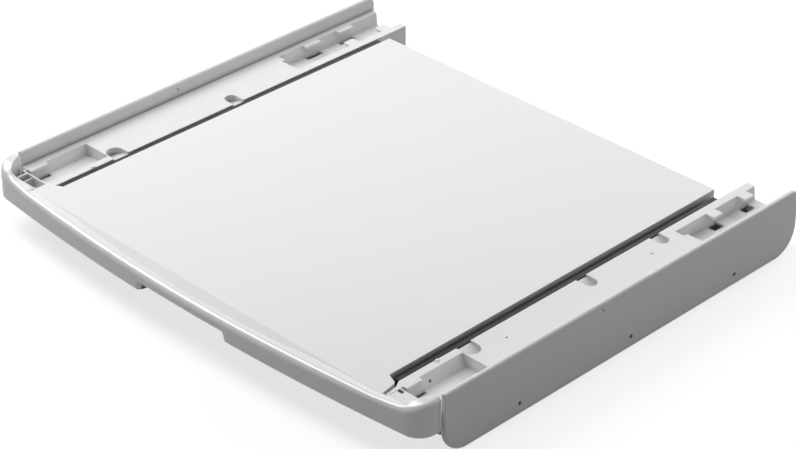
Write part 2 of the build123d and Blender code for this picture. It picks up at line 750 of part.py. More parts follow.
def pull_out_shelf():
    """Shelf, walls, ribs and front bar as the one moulding that the runners carry."""
    plan = make_face(Polyline(*shelf_outline(), close=True))
    rear = plan.vertices().group_by(Axis.Y)[-1]
    plan = fillet(rear, shelf_corner_radius)
    core = offset(plan, -shelf_wall)
    core += block_plan(rim_start_x - shelf_wall, crescent_y, crescent_y + shelf_wall)
    body = Pos(0, 0, shelf_foot_z) * extrude(plan, shelf_top_z - shelf_foot_z)
    body -= Pos(0, 0, shelf_foot_z) * extrude(core, shelf_plate_z - shelf_foot_z)
    half = shelf_half_width - shelf_wall / 2
    rib_z = shelf_plate_z - shelf_rib_depth
    inner_pitch = 2 * half / (along_rib_count + 1)
    for x in spread(0, inner_pitch, along_rib_count):
        body += block(x - shelf_rib_thickness / 2, x + shelf_rib_thickness / 2, crescent_y,
                      shelf_rear_y - rib_end_bite, rib_z, shelf_plate_z)
    across_pitch = (shelf_rear_y - crescent_y) / (across_rib_count + 1)
    for y in spread((shelf_rear_y + crescent_y) / 2, across_pitch, across_rib_count):
        body += block(-half, half, y - shelf_rib_thickness / 2, y + shelf_rib_thickness / 2, rib_z,
                      shelf_plate_z)
    body += front_bar()
    body += crescent()
    body += recess(recess_wall) & extrude(bar_plan(), skirt_height)
    body -= recess(0)
    body -= recess_foot()
    for y in inner_screw_ys:
        hole = screw_hole(shelf_half_width - shelf_wall - over, shelf_half_width + over, y, runner_z)
        body -= hole
        body -= mirrored(hole)
    return body


def channel(back, tip, height, sheet, y_low, y_high):
    """A C section that stands on the runner's centre line: back and tip are measured from the rail."""
    step = sheet if tip > back else -sheet
    half = height / 2
    points = [(back, -half), (tip, -half), (tip, sheet - half), (back + step, sheet - half),
              (back + step, half - sheet), (tip, half - sheet), (tip, half), (back, half)]
    return along_y([(rail_inner_x - u, runner_z + v) for u, v in points], y_low, y_high)


def screw_x(head_x, tip_x, y, z):
    """A pan-head screw along X: its head sits on head_x, on the side away from the tip."""
    out = -1 if tip_x > head_x else 1
    head_low, head_high = sorted((head_x, head_x + out * screw_head_height))
    shank_low, shank_high = sorted((head_x, tip_x))
    return rod_x(head_low, head_high, y, z, screw_head_radius) + rod_x(shank_low, shank_high, y, z,
                                                                      screw_radius)


def screw_hole(x_low, x_high, y, z):
    """The hole that a screw passes through with its clearance."""
    return rod_x(x_low, x_high, y, z, screw_radius + screw_clearance)


def runner_outer():
    """The runner's fixed member, screwed to the rail's inner wall."""
    member = channel(0, outer_flange_depth, runner_height, runner_sheet, runner_front_y, runner_rear_y)
    for y in runner_screw_ys:
        member -= screw_hole(rail_inner_x - runner_sheet - over, rail_inner_x + over, y, runner_z)
    return member


def runner_middle():
    """The runner's middle member, which rolls between the other two."""
    return channel(middle_offset, middle_offset + middle_depth, middle_height, runner_sheet, middle_front_y,
                   member_rear_y)


def runner_inner():
    """The runner's inner member, screwed to the side of the shelf."""
    member = channel(runner_thickness, runner_thickness - inner_depth, inner_height, runner_sheet,
                     runner_front_y, member_rear_y)
    for y in inner_screw_ys:
        member -= screw_hole(shelf_half_width - over, shelf_half_width + runner_sheet + over, y, runner_z)
    return member


def ball_rows(offset_u, half_height, centre_y):
    """Centres of the balls that run above and below a member."""
    x = rail_inner_x - offset_u
    return [(x, y, runner_z + side * half_height) for side in (1, -1)
            for y in spread(centre_y, ball_pitch, row_ball_count)]


def cage(back, depth, half_height, y_low, offset_u):
    """A strip folded round a member, with a hole for each ball."""
    strip = channel(back, back + depth, 2 * half_height + cage_sheet, cage_sheet, y_low,
                    y_low + cage_length)
    for x, y, z in ball_rows(offset_u, half_height, y_low + cage_length / 2):
        strip -= rod_z(z - cage_sheet, z + cage_sheet, x, y, ball_radius + ball_clearance)
    return strip


def balls(offset_u, half_height, y_low):
    """The balls of one cage."""
    return [Pos(*centre) * Sphere(ball_radius)
            for centre in ball_rows(offset_u, half_height, y_low + cage_length / 2)]


def bumper():
    """The rubber stop that both moving members close against."""
    x_high = rail_inner_x - runner_sheet
    return block(x_high - bumper_depth, x_high, bumper_front_y, bumper_front_y + bumper_length,
                 runner_z - bumper_height / 2, runner_z + bumper_height / 2)


def cross_member(y):
    """A steel strip with two upright flanges, which holds the two rails apart."""
    half_length = rail_inner_face_x + lip_width
    low = rail_foot_z - cross_sheet
    strip = block(-half_length, half_length, y - cross_width / 2, y + cross_width / 2, low, rail_foot_z)
    flange_x = rail_inner_x - cross_flange_end_gap
    for side in (1, -1):
        outer_y = y + side * cross_width / 2
        y_low, y_high = sorted((outer_y, outer_y - side * cross_sheet))
        strip += block(-flange_x, flange_x, y_low, y_high, low, rail_foot_z + cross_flange_height)
    for x in (cross_screw_x, -cross_screw_x):
        for side in (1, -1):
            strip -= rod_z(low - over, rail_foot_z + over, x, y + side * cross_screw_from_side,
                           screw_radius + screw_clearance)
    return strip


def cross_screws():
    """The screws that go up through the cross members into the rails' bosses."""
    seat = rail_foot_z - cross_sheet
    screws = []
    for x in (cross_screw_x, -cross_screw_x):
        for y in cross_screw_ys:
            shank = rod_z(seat, rail_foot_z + cross_screw_bite, x, y, screw_radius)
            screws.append(shank + rod_z(seat - screw_head_height, seat, x, y, screw_head_radius))
    return screws


def pads():
    """The anti-slip pads under one rail."""
    outer_low = rail_outer_face_x - lip_width + pad_margin
    inner_low = rail_inner_face_x + pad_margin
    width = lip_width - 2 * pad_margin
    places = [(x_low, y) for x_low, along in ((outer_low, outer_pad_y), (inner_low, inner_pad_y))
              for y in (-along, along)]
    return [block(x_low, x_low + width, y - pad_length / 2, y + pad_length / 2,
                  rail_foot_z - pad_thickness, rail_foot_z) for x_low, y in places]


def both_sides(shapes):
    """The given right-hand shapes with their left-hand copies."""
    return shapes + [mirrored(shape) for shape in shapes]


os.makedirs("parts", exist_ok=True)

for side, place in (("right", lambda shape: shape), ("left", mirrored)):
    save(place(right_skirt()), f"{side}_skirt")
    save(rail(side == "left"), f"{side}_rail")
    save(place(runner_outer()), f"{side}_runner_outer")
    save(place(runner_middle()), f"{side}_runner_middle")
    save(place(runner_inner()), f"{side}_runner_inner")
    save(place(bumper()), f"{side}_runner_bumper")
    save([place(pad) for pad in pads()], f"{side}_anti_slip_pads")
    for name, start, back, depth, half_height, offset_u in cages:
        y_low = runner_front_y + start
        save(place(cage(back, depth, half_height, y_low, offset_u)), f"{side}_{name}_ball_cage")
        save([place(ball) for ball in balls(offset_u, half_height, y_low)], f"{side}_{name}_balls")

save(pull_out_shelf(), "pull_out_shelf")
save(cross_member(front_cross_y), "front_cross_member")
save(cross_member(rear_cross_y), "rear_cross_member")
save(cross_screws(), "cross_member_screws")

outer_screws = [screw_x(rail_inner_face_x, rail_inner_x - runner_sheet + screw_end_gap, y, runner_z)
                for y in runner_screw_ys]
save(both_sides(outer_screws), "outer_runner_screws")
inner_screws = [screw_x(shelf_half_width - shelf_wall, shelf_half_width + runner_sheet - screw_end_gap, y,
                        runner_z) for y in inner_screw_ys]
save(both_sides(inner_screws), "inner_runner_screws")
skirt_screws = [screw_x(rail_outer_face_x, rail_outer_x + skirt_screw_bite, y,
                        rail_foot_z + skirt_screw_height) for y in skirt_screw_ys]
save(both_sides(skirt_screws), "skirt_screws")
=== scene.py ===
"""A stacking kit with a pull-out shelf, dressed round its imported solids: mouldings, runners and studio."""
import logging
import math
from dataclasses import dataclass, field
from enum import Enum
from typing import Callable, Sequence

import bmesh
import bpy
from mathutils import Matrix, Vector


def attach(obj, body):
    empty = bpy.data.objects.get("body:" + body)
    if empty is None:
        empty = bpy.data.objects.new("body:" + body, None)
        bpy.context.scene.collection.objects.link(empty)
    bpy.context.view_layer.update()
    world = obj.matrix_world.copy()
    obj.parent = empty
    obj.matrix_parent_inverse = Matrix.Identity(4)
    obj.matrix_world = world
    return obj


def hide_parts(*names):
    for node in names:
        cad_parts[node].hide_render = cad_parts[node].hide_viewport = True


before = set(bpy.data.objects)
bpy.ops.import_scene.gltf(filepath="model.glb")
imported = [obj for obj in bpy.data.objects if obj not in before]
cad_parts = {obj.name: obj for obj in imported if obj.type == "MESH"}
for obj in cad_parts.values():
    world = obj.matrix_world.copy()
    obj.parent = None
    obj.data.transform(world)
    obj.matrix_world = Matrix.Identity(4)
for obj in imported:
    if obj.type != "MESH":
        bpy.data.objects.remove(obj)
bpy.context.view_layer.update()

log = logging.getLogger("stacking_kit")

MM = 0.001
MERGE = 0.001 * MM
ROUND_PROFILE = 0.5
SHADE_SAMPLES = 8
FLOAT = "NodeSocketFloat"
VECTOR = "NodeSocketVector"
Point = tuple[float, float]
Triple = tuple[float, float, float]


class Side(Enum):
    LEFT = -1
    RIGHT = 1

    @property
    def word(self) -> str:
        """The side's name as the nodes spell it."""
        return self.name.lower()


class Body(Enum):
    """The bodies that the pieces of this file ride on."""

    KIT_FRAME = "kit_frame"
    SHELF = "shelf"


class Slot(Enum):
    """Material slots of the record, listed with each new piece."""

    RAIL = "rail_plastic"
    SKIRT = "skirt_plastic"
    SHELF = "shelf_plastic"
    RUNNER = "runner_steel"
    BALL = "ball_steel"
    SCREW = "screw_steel"


# Shader groups


@dataclass(frozen=True)
class ShaderGroup:
    """A shader node group that is built once and placed in every material that uses it."""

    name: str
    inputs: tuple[tuple[str, str, float], ...]
    outputs: tuple[str, ...]
    wire: Callable[[bpy.types.NodeTree, bpy.types.Node, bpy.types.Node], None]

    def tree(self) -> bpy.types.NodeTree:
        """The group's tree, made on first use.

        Returns:
            The node tree with its named inputs and outputs.
        """
        made = bpy.data.node_groups.get(self.name)
        if made:
            return made
        tree = bpy.data.node_groups.new(self.name, "ShaderNodeTree")
        for name, kind, value in self.inputs:
            socket = tree.interface.new_socket(name, in_out="INPUT", socket_type=kind)
            if kind == FLOAT:
                socket.default_value = value
        for name in self.outputs:
            tree.interface.new_socket(name, in_out="OUTPUT", socket_type=FLOAT)
        self.wire(tree, tree.nodes.new("NodeGroupInput"), tree.nodes.new("NodeGroupOutput"))
        return tree


def noise(tree: bpy.types.NodeTree, vector: bpy.types.NodeSocket, scale: float,
          detail: float = 2.0, stretch: Sequence[float] = (1, 1, 1)) -> bpy.types.NodeSocket:
    """A noise texture on a stretched copy of the given coordinates.

    Args:
        tree: the tree that gets the nodes.
        vector: coordinates in metres.
        scale: how many cells a metre holds.
        detail: octaves of the noise.
        stretch: how much the coordinates are scaled along X, Y and Z first.

    Returns:
        The texture's value.
    """
    mapping = tree.nodes.new("ShaderNodeMapping")
    mapping.inputs["Scale"].default_value = tuple(scale * s for s in stretch)
    texture = tree.nodes.new("ShaderNodeTexNoise")
    texture.inputs["Scale"].default_value = 1.0
    texture.inputs["Detail"].default_value = detail
    tree.links.new(vector, mapping.inputs["Vector"])
    tree.links.new(mapping.outputs["Vector"], texture.inputs["Vector"])
    return texture.outputs["Fac"]


def calculate(tree: bpy.types.NodeTree, operation: str, *values: bpy.types.NodeSocket | float,
              clamp: bool = False) -> bpy.types.NodeSocket:
    """A Math node on sockets or plain numbers.

    Args:
        tree: the tree that gets the node.
        operation: the Math node's operation.
        values: what goes in, in order.
        clamp: whether the result stays between 0 and 1.

    Returns:
        The node's value.
    """
    node = tree.nodes.new("ShaderNodeMath")
    node.operation = operation
    node.use_clamp = clamp
    for index, value in enumerate(values):
        if isinstance(value, bpy.types.NodeSocket):
            tree.links.new(value, node.inputs[index])
        else:
            node.inputs[index].default_value = value
    return node.outputs[0]


def contrast(tree: bpy.types.NodeTree, mask: bpy.types.NodeSocket, gain: float) -> bpy.types.NodeSocket:
    """Spread a mask out from its middle, between 0 and 1.

    Args:
        tree: the tree that gets the node.
        mask: the mask.
        gain: how many times further from the middle its values lie.

    Returns:
        The stronger mask.
    """
    return calculate(tree, "MULTIPLY_ADD", mask, gain, (1.0 - gain) / 2, clamp=True)


def wire_moulded_grain(tree: bpy.types.NodeTree, given: bpy.types.Node, out: bpy.types.Node) -> None:
    """Fine spark-eroded grain with broad mottling, as on satin mouldings.

    Args:
        tree: the group's tree.
        given: its input node.
        out: its output node.
    """
    position = given.outputs["Vector"]
    fine = noise(tree, position, scale=1400.0, detail=3.0)
    medium = noise(tree, position, scale=420.0, detail=2.0)
    broad = noise(tree, position, scale=16.0, detail=3.0)
    medium_share = 0.45
    tree.links.new(calculate(tree, "MULTIPLY_ADD", medium, medium_share, fine), out.inputs["Grain"])
    tree.links.new(contrast(tree, broad, gain=2.0), out.inputs["Mottle"])


def wire_rolled_streaks(tree: bpy.types.NodeTree, given: bpy.types.Node, out: bpy.types.Node) -> None:
    """Streaks of rolled steel along Y, with the cloudy bloom of a zinc coat.

    Args:
        tree: the group's tree.
        given: its input node.
        out: its output node.
    """
    position = given.outputs["Vector"]
    streaks = noise(tree, position, scale=900.0, detail=3.0, stretch=(1.0, 0.02, 1.0))
    bloom = noise(tree, position, scale=70.0, detail=4.0)
    tree.links.new(streaks, out.inputs["Streaks"])
    tree.links.new(contrast(tree, bloom, gain=1.8), out.inputs["Bloom"])


def wire_settled_shade(tree: bpy.types.NodeTree, given: bpy.types.Node, out: bpy.types.Node) -> None:
    """Painted shade: the colour darkens where a place is hemmed in, so inner corners, seams and pockets come
    out darker.

    Args:
        tree: the group's tree.
        given: its input node.
        out: its output node.
    """
    near = tree.nodes.new("ShaderNodeAmbientOcclusion")
    near.samples = SHADE_SAMPLES
    tree.links.new(given.outputs["Reach"], near.inputs["Distance"])
    lost = calculate(tree, "SUBTRACT", 1.0, near.outputs["AO"])
    shade = calculate(tree, "MULTIPLY", lost, given.outputs["Strength"])
    tree.links.new(calculate(tree, "SUBTRACT", 1.0, shade, clamp=True), out.inputs["Openness"])


def wire_spread(tree: bpy.types.NodeTree, given: bpy.types.Node, out: bpy.types.Node) -> None:
    """A value that a mask moves up and down round its middle.

    Args:
        tree: the group's tree.
        given: its input node.
        out: its output node.
    """
    mask_middle = 0.5
    centred = calculate(tree, "SUBTRACT", given.outputs["Mask"], mask_middle)
    moved = calculate(tree, "MULTIPLY_ADD", centred, given.outputs["Spread"], given.outputs["Middle"])
    tree.links.new(moved, out.inputs["Value"])


MOULDED_GRAIN = ShaderGroup("moulded_grain", (("Vector", VECTOR, 0.0),), ("Grain", "Mottle"),
                            wire_moulded_grain)
ROLLED_STREAKS = ShaderGroup("rolled_streaks", (("Vector", VECTOR, 0.0),), ("Streaks", "Bloom"),
                             wire_rolled_streaks)
# painted shade: darker colour in corners, seams and pockets
PAINTED_CORNER_SHADE = ShaderGroup("settled_shade", (("Reach", FLOAT, 0.01), ("Strength", FLOAT, 0.5)),
                            ("Openness",), wire_settled_shade)
SPREAD = ShaderGroup("spread", (("Mask", FLOAT, 0.5), ("Middle", FLOAT, 0.5), ("Spread", FLOAT, 0.1)),
                     ("Value",), wire_spread)


class Finish:
    """A procedural material under construction: one Principled shader fed by shared groups."""

    def __init__(self, name: str) -> None:
        """Start the material.

        Args:
            name: the material's name.
        """
        self.material = bpy.data.materials.new(name)
        self.material.use_nodes = True
        self.tree = self.material.node_tree
        self.shader = self.tree.nodes["Principled BSDF"]
        self.place = self.tree.nodes.new("ShaderNodeTexCoord").outputs["Object"]

    def group(self, shared: ShaderGroup, **links: bpy.types.NodeSocket | float) -> bpy.types.Node:
        """Place a shared group.

        Args:
            shared: the group to place.
            links: sockets or numbers for its inputs, by name.

        Returns:
            The group node.
        """
        node = self.tree.nodes.new("ShaderNodeGroup")
        node.node_tree = shared.tree()
        for name, value in links.items():
            if isinstance(value, bpy.types.NodeSocket):
                self.tree.links.new(value, node.inputs[name])
            else:
                node.inputs[name].default_value = value
        return node

    def colour(self, low: Sequence[float], high: Sequence[float], mask: bpy.types.NodeSocket) -> None:
        """Feed Base Color with a mix of two colours.

        Args:
            low: the colour where the mask is 0.
            high: the colour where the mask is 1.
            mask: what mixes them.
        """
        mix = self.tree.nodes.new("ShaderNodeMix")
        mix.data_type = "RGBA"
        mix.inputs["A"].default_value = (*low, 1.0)
        mix.inputs["B"].default_value = (*high, 1.0)
        self.tree.links.new(mask, mix.inputs["Factor"])
        self.tree.links.new(mix.outputs["Result"], self.shader.inputs["Base Color"])

    def darken_corners(self, reach: float, strength: float) -> None:
        """Paint shade into Base Color where the surface is hemmed in.

        Args:
            reach: how near other surfaces count, in metres.
            strength: how much of the colour they take at most.
        """
        openness = self.group(PAINTED_CORNER_SHADE, Reach=reach, Strength=strength).outputs["Openness"]
        colour = self.shader.inputs["Base Color"].links[0].from_socket
        scale = self.tree.nodes.new("ShaderNodeVectorMath")
        scale.operation = "SCALE"
        self.tree.links.new(colour, scale.inputs[0])
        self.tree.links.new(openness, scale.inputs["Scale"])
        self.tree.links.new(scale.outputs[0], self.shader.inputs["Base Color"])

    def roughness(self, middle: float, spread: float, mask: bpy.types.NodeSocket) -> None:
        """Feed Roughness with a value that varies over the surface.

        Args:
            middle: the mean roughness.
            spread: how far it varies in all.
            mask: what varies it.
        """
        node = self.group(SPREAD, Mask=mask, Middle=middle, Spread=spread)
        self.tree.links.new(node.outputs["Value"], self.shader.inputs["Roughness"])

    def bump(self, height: bpy.types.NodeSocket, depth: float, strength: float) -> None:
        """Feed Normal with a Bump node.

        Args:
            height: the height mask.
            depth: the height's full range in metres.
            strength: the Bump node's strength.
        """
        node = self.tree.nodes.new("ShaderNodeBump")
        node.inputs["Distance"].default_value = depth
        node.inputs["Strength"].default_value = strength
        self.tree.links.new(height, node.inputs["Height"])
        self.tree.links.new(node.outputs["Normal"], self.shader.inputs["Normal"])


@dataclass(frozen=True)
class MouldedPlastic:
    """Satin injection-moulded plastic or rubber with a fine grain, and painted shade in its corners, seams
    and pockets.
    """

    name: str
    colour: Triple
    shade: float = 0.985
    roughness: float = 0.42
    roughness_spread: float = 0.04
    grain_depth: float = 0.04 * MM
    grain_strength: float = 0.25
    specular: float = 0.5
    # painted shade: how far off other surfaces darken the colour, and by how much at most
    shade_reach: float = 12.0 * MM
    shade_strength: float = 0.42

    def make(self) -> bpy.types.Material:
        """Build the material.

        Returns:
            The finished material.
        """
        finish = Finish(self.name)
        finish.shader.inputs["Specular IOR Level"].default_value = self.specular
        grain = finish.group(MOULDED_GRAIN, Vector=finish.place)
        finish.colour([c * self.shade for c in self.colour], self.colour, grain.outputs["Mottle"])
        # painted shade in corners, seams and pockets
        finish.darken_corners(self.shade_reach, self.shade_strength)
        finish.roughness(self.roughness, self.roughness_spread, grain.outputs["Mottle"])
        finish.bump(grain.outputs["Grain"], self.grain_depth, self.grain_strength)
        return finish.material


@dataclass(frozen=True)
class CoatedSteel:
    """Zinc-plated or galvanised sheet with rolling streaks and a cloudy bloom."""

    name: str
    dark: Triple
    light: Triple
    roughness: float = 0.38
    roughness_spread: float = 0.16
    metallic: float = 1.0
    streak_depth: float = 0.03 * MM
    streak_strength: float = 0.35

    def make(self) -> bpy.types.Material:
        """Build the material.

        Returns:
            The finished material.
        """
        finish = Finish(self.name)
        finish.shader.inputs["Metallic"].default_value = self.metallic
        rolled = finish.group(ROLLED_STREAKS, Vector=finish.place)
        finish.colour(self.dark, self.light, rolled.outputs["Bloom"])
        finish.roughness(self.roughness, self.roughness_spread, rolled.outputs["Streaks"])
        finish.bump(rolled.outputs["Streaks"], self.streak_depth, self.streak_strength)
        return finish.material


@dataclass
class Finishes:
    shelf: bpy.types.Material = field(init=False)
    rail: bpy.types.Material = field(init=False)
    skirt: bpy.types.Material = field(init=False)
    runner: bpy.types.Material = field(init=False)
    cage: bpy.types.Material = field(init=False)
    ball: bpy.types.Material = field(init=False)
    cross: bpy.types.Material = field(init=False)
    screw: bpy.types.Material = field(init=False)
    rubber: bpy.types.Material = field(init=False)

    def __post_init__(self) -> None:
        """Make the materials."""
        self.shelf = MouldedPlastic("shelf_white", (0.80, 0.80, 0.80), roughness=0.25,
                                    specular=0.7).make()
        self.rail = MouldedPlastic("rail_white", (0.82, 0.82, 0.82), roughness=0.44).make()
        # the skirt's painted shade is short and strong: a dark line at the wall's base and at the seam with
        # the bar
        self.skirt = MouldedPlastic("skirt_white", (0.80, 0.80, 0.80), roughness=0.40,
                                    shade_reach=5.0 * MM, shade_strength=0.6).make()
        # near-black runner steel: partly a dark coat, partly painted shade, so that the deep gap beside the
        # shelf reads as shaded
        self.runner = CoatedSteel("runner_zinc", (0.022, 0.022, 0.023), (0.045, 0.045, 0.047)).make()
        self.cross = CoatedSteel("cross_galvanised", (0.42, 0.43, 0.44), (0.60, 0.61, 0.62),
                                 roughness=0.5).make()
        self.screw = CoatedSteel("screw_zinc", (0.45, 0.45, 0.45), (0.62, 0.62, 0.62), roughness=0.3).make()
        self.ball = CoatedSteel("ball_polished", (0.60, 0.60, 0.61), (0.68, 0.68, 0.69), roughness=0.12,
                                roughness_spread=0.04, streak_depth=0.002 * MM).make()
        self.cage = MouldedPlastic("cage_black", (0.02, 0.02, 0.02), roughness=0.5).make()
        self.rubber = MouldedPlastic("pad_rubber", (0.03, 0.03, 0.03), roughness=0.75, specular=0.3,
                                     grain_depth=0.1 * MM, grain_strength=0.5).make()


# Mesh helpers


def add_object(name: str, mesh: bpy.types.Mesh) -> bpy.types.Object:
    """Link a mesh to the scene as an object at the origin.

    Args:
        name: the object's name.
        mesh: its mesh.

    Returns:
        The object.
    """
    obj = bpy.data.objects.new(name, mesh)
    bpy.context.scene.collection.objects.link(obj)
    return obj


def mesh_from(bm: bmesh.types.BMesh, name: str) -> bpy.types.Mesh:
    """Turn a bmesh into a mesh and free it.

    Args:
        bm: the bmesh.
        name: the mesh's name.

    Returns:
        The mesh.
    """
    mesh = bpy.data.meshes.new(name)
    bm.to_mesh(mesh)
    bm.free()
    return mesh


def bake(obj: bpy.types.Object) -> bpy.types.Object:
    """Turn an object's modifiers into a plain mesh.

    Args:
        obj: the object, whose modifiers are removed.

    Returns:
        The same object.
    """
    graph = bpy.context.evaluated_depsgraph_get()
    graph.update()
    mesh = bpy.data.meshes.new_from_object(obj.evaluated_get(graph))
    mesh.name = obj.name
    obj.modifiers.clear()
    obj.data = mesh
    return obj


def smooth(obj: bpy.types.Object, sharp_degrees: float = 38.0) -> bpy.types.Object:
    """Shade an object smooth up to an angle, with its broad faces kept flat.

    Args:
        obj: the object.
        sharp_degrees: edges that turn more than this stay sharp.

    Returns:
        The same object.
    """
    obj.data.shade_smooth()
    obj.data.set_sharp_from_angle(angle=math.radians(sharp_degrees))
    modifier = obj.modifiers.new("broad_faces", "WEIGHTED_NORMAL")
    modifier.keep_sharp = True
    return bake(obj)


def place(obj: bpy.types.Object, body: Body, slot: Slot, finish: bpy.types.Material | None,
          *nodes: str) -> bpy.types.Object:
    """Give a finished piece its material and its body, and hide the nodes that it stands for.

    Args:
        obj: the piece.
        body: the body that it rides on.
        slot: not used.
        finish: its material, or None where its mesh has one already.
        nodes: the nodes that it replaces.

    Returns:
        The same object.
    """
    if finish is not None:
        obj.data.materials.clear()
        obj.data.materials.append(finish)
    if nodes:
        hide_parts(*nodes)
    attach(obj, body.value)
    log.info("%s: %d faces on %s", obj.name, len(obj.data.polygons), body.value)
    return obj


def loft(bm: bmesh.types.BMesh, loops: Sequence[Sequence[Sequence[float]]]) -> None:
    """Join closed loops of points into one closed body with flat ends.

    Args:
        bm: the bmesh that gets the body.
        loops: the loops in order, each with as many points.
    """
    rings = [[bm.verts.new(point) for point in loop] for loop in loops]
    for low, high in zip(rings, rings[1:]):
        for i in range(len(low)):
            j = (i + 1) % len(low)
            bm.faces.new((low[i], low[j], high[j], high[i]))
    bm.faces.new(rings[0][::-1])
    bm.faces.new(rings[-1])


def closed_mesh(bm: bmesh.types.BMesh, name: str) -> bpy.types.Object:
    """Finish a lofted body: one skin, its faces outwards.

    Args:
        bm: the bmesh, which is freed.
        name: the object's name.

    Returns:
        The object.
    """
    bmesh.ops.recalc_face_normals(bm, faces=bm.faces)
    return add_object(name, mesh_from(bm, name))


def combine(obj: bpy.types.Object, other: bpy.types.Object, operation: str) -> None:
    """Add another body to an object or cut it away, and delete it.

    Args:
        obj: the object that changes.
        other: the body that is used up.
        operation: UNION or DIFFERENCE.
    """
    modifier = obj.modifiers.new(operation.lower(), "BOOLEAN")
    modifier.operation = operation
    modifier.solver = "EXACT"
    modifier.object = other
    bake(obj)
    bpy.data.objects.remove(other)


def round_edges(bm: bmesh.types.BMesh, edges: list[bmesh.types.BMEdge], width: float, segments: int,
                slide: bool = False) -> None:
    """Round a choice of edges.

    Args:
        bm: the bmesh.
        edges: the edges.
        width: how far the rounding reaches on both faces.
        segments: how many facets it has.
        slide: whether its ends run along the edges next to it rather than keep an even width.
    """
    bmesh.ops.bevel(bm, geom=edges, offset=width, offset_type="OFFSET", segments=segments,
                    profile=ROUND_PROFILE, affect="EDGES", clamp_overlap=False, loop_slide=slide)


def merged_copy(node: str) -> bmesh.types.BMesh:
    """A copy of a carried-over solid with its loose triangles joined; the solid stays as it is.

    Args:
        node: the solid's node.

    Returns:
        The copy.
    """
    bm = bmesh.new()
    bm.from_mesh(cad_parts[node].data)
    bmesh.ops.remove_doubles(bm, verts=bm.verts, dist=MERGE)
    return bm


def loose_bodies(node: str) -> tuple[list[Vector], float]:
    """Where the loose bodies of a solid are, such as a cage's balls or a row's screws.

    Args:
        node: the solid's node.

    Returns:
        The centres in order of X, Y and Z, and half the largest body's longest side.
    """
    bm = merged_copy(node)
    centres, radius = [], 0.0
    left = set(bm.verts)
    while left:
        stack, island = [left.pop()], []
        while stack:
            vert = stack.pop()
            island.append(vert)
            for edge in vert.link_edges:
                other = edge.other_vert(vert)
                if other in left:
                    left.discard(other)
                    stack.append(other)
        low = Vector([min(v.co[k] for v in island) for k in range(3)])
        high = Vector([max(v.co[k] for v in island) for k in range(3)])
        centres.append((low + high) / 2)
        radius = max(radius, max(high - low) / 2)
    bm.free()
    return sorted(centres, key=lambda centre: tuple(round(v, 6) for v in centre)), radius


def soft_block(name: str, low: Sequence[float], high: Sequence[float], radius: float) -> bpy.types.Object:
    """A box with rounded edges.

    Args:
        name: the object's name.
        low: its lowest corner in millimetres.
        high: its highest corner in millimetres.
        radius: how far the rounding reaches, in millimetres.

    Returns:
        The object.
    """
    bm = bmesh.new()
    bmesh.ops.create_cube(bm, size=1.0)
    for vert in bm.verts:
        vert.co = Vector([(a + b) / 2 + c * (b - a) for a, b, c in zip(low, high, vert.co)]) * MM
    round_edges(bm, list(bm.edges), radius * MM, segments=2)
    return smooth(add_object(name, mesh_from(bm, name)))


def dress(node: str, finish: bpy.types.Material) -> None:
    """Give a carried-over solid its material.

    Args:
        node: the solid's node.
        finish: its material.
    """
    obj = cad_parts[node]
    if obj.material_slots:
        obj.material_slots[0].material = finish
    else:
        obj.data.materials.append(finish)
    log.info("dressed %s", node)


@dataclass
class SoftEdges:
    """Rounds the outward edges of a moulding's copy above a level, as its mould would.

    Edges that lie beyond wide_beyond on either side, and above wide_above, get the wide rounding.
    """

    width: float = 0.45 * MM
    segments: int = 2
    above: float = 0.0
    sharp_degrees: float = 28.0
    shortest: float = 0.9 * MM
    flat_degrees: float = 0.3
    wide_beyond: float = math.inf
    wide_above: float = 54.0 * MM
    wide_width: float = 1.8 * MM
    wide_segments: int = 4

    def wanted(self, edge: bmesh.types.BMEdge) -> bool:
        """Whether an edge is rounded.

        Args:
            edge: the edge.

        Returns:
            True for a long enough outward edge above the level.
        """
        if not edge.is_manifold or not edge.is_convex or edge.calc_length() < self.shortest:
            return False
        if min(v.co.z for v in edge.verts) < self.above:
            return False
        return edge.calc_face_angle() > math.radians(self.sharp_degrees)

    def in_wide_zone(self, edge: bmesh.types.BMEdge) -> bool:
        """Whether an edge lies far out and high enough for the wide rounding.

        Args:
            edge: the edge.

        Returns:
            True where both its ends do.
        """
        return all(abs(v.co.x) > self.wide_beyond and v.co.z > self.wide_above for v in edge.verts)

    def copy(self, node: str, name: str) -> bpy.types.Object:
        """Copy a solid's mesh, merge it and round its edges.

        Args:
            node: the solid's node.
            name: the new piece's name.

        Returns:
            The new object.
        """
        bm = merged_copy(node)
        bmesh.ops.dissolve_limit(bm, angle_limit=math.radians(self.flat_degrees), verts=bm.verts,
                                 edges=bm.edges)
        wide = [edge for edge in bm.edges if self.wanted(edge) and self.in_wide_zone(edge)]
        round_edges(bm, wide, self.wide_width, self.wide_segments, slide=True)
        chosen = [edge for edge in bm.edges if self.wanted(edge)]
        round_edges(bm, chosen, self.width, self.segments, slide=True)
        return smooth(add_object(name, mesh_from(bm, name)))


# Geometry Nodes


def geometry_tree(name: str, inputs: Sequence[tuple[str, str]]) -> bpy.types.NodeTree:
    """Start a Geometry Nodes tree.

    Args:
        name: the tree's name.
        inputs: the name and kind of each input.

    Returns:
        The tree, with those inputs and one output Geometry.
    """
    tree = bpy.data.node_groups.new(name, "GeometryNodeTree")
    for label, kind in inputs:
        tree.interface.new_socket(label, in_out="INPUT", socket_type=f"NodeSocket{kind}")
    tree.interface.new_socket("Geometry", in_out="OUTPUT", socket_type="NodeSocketGeometry")
    return tree


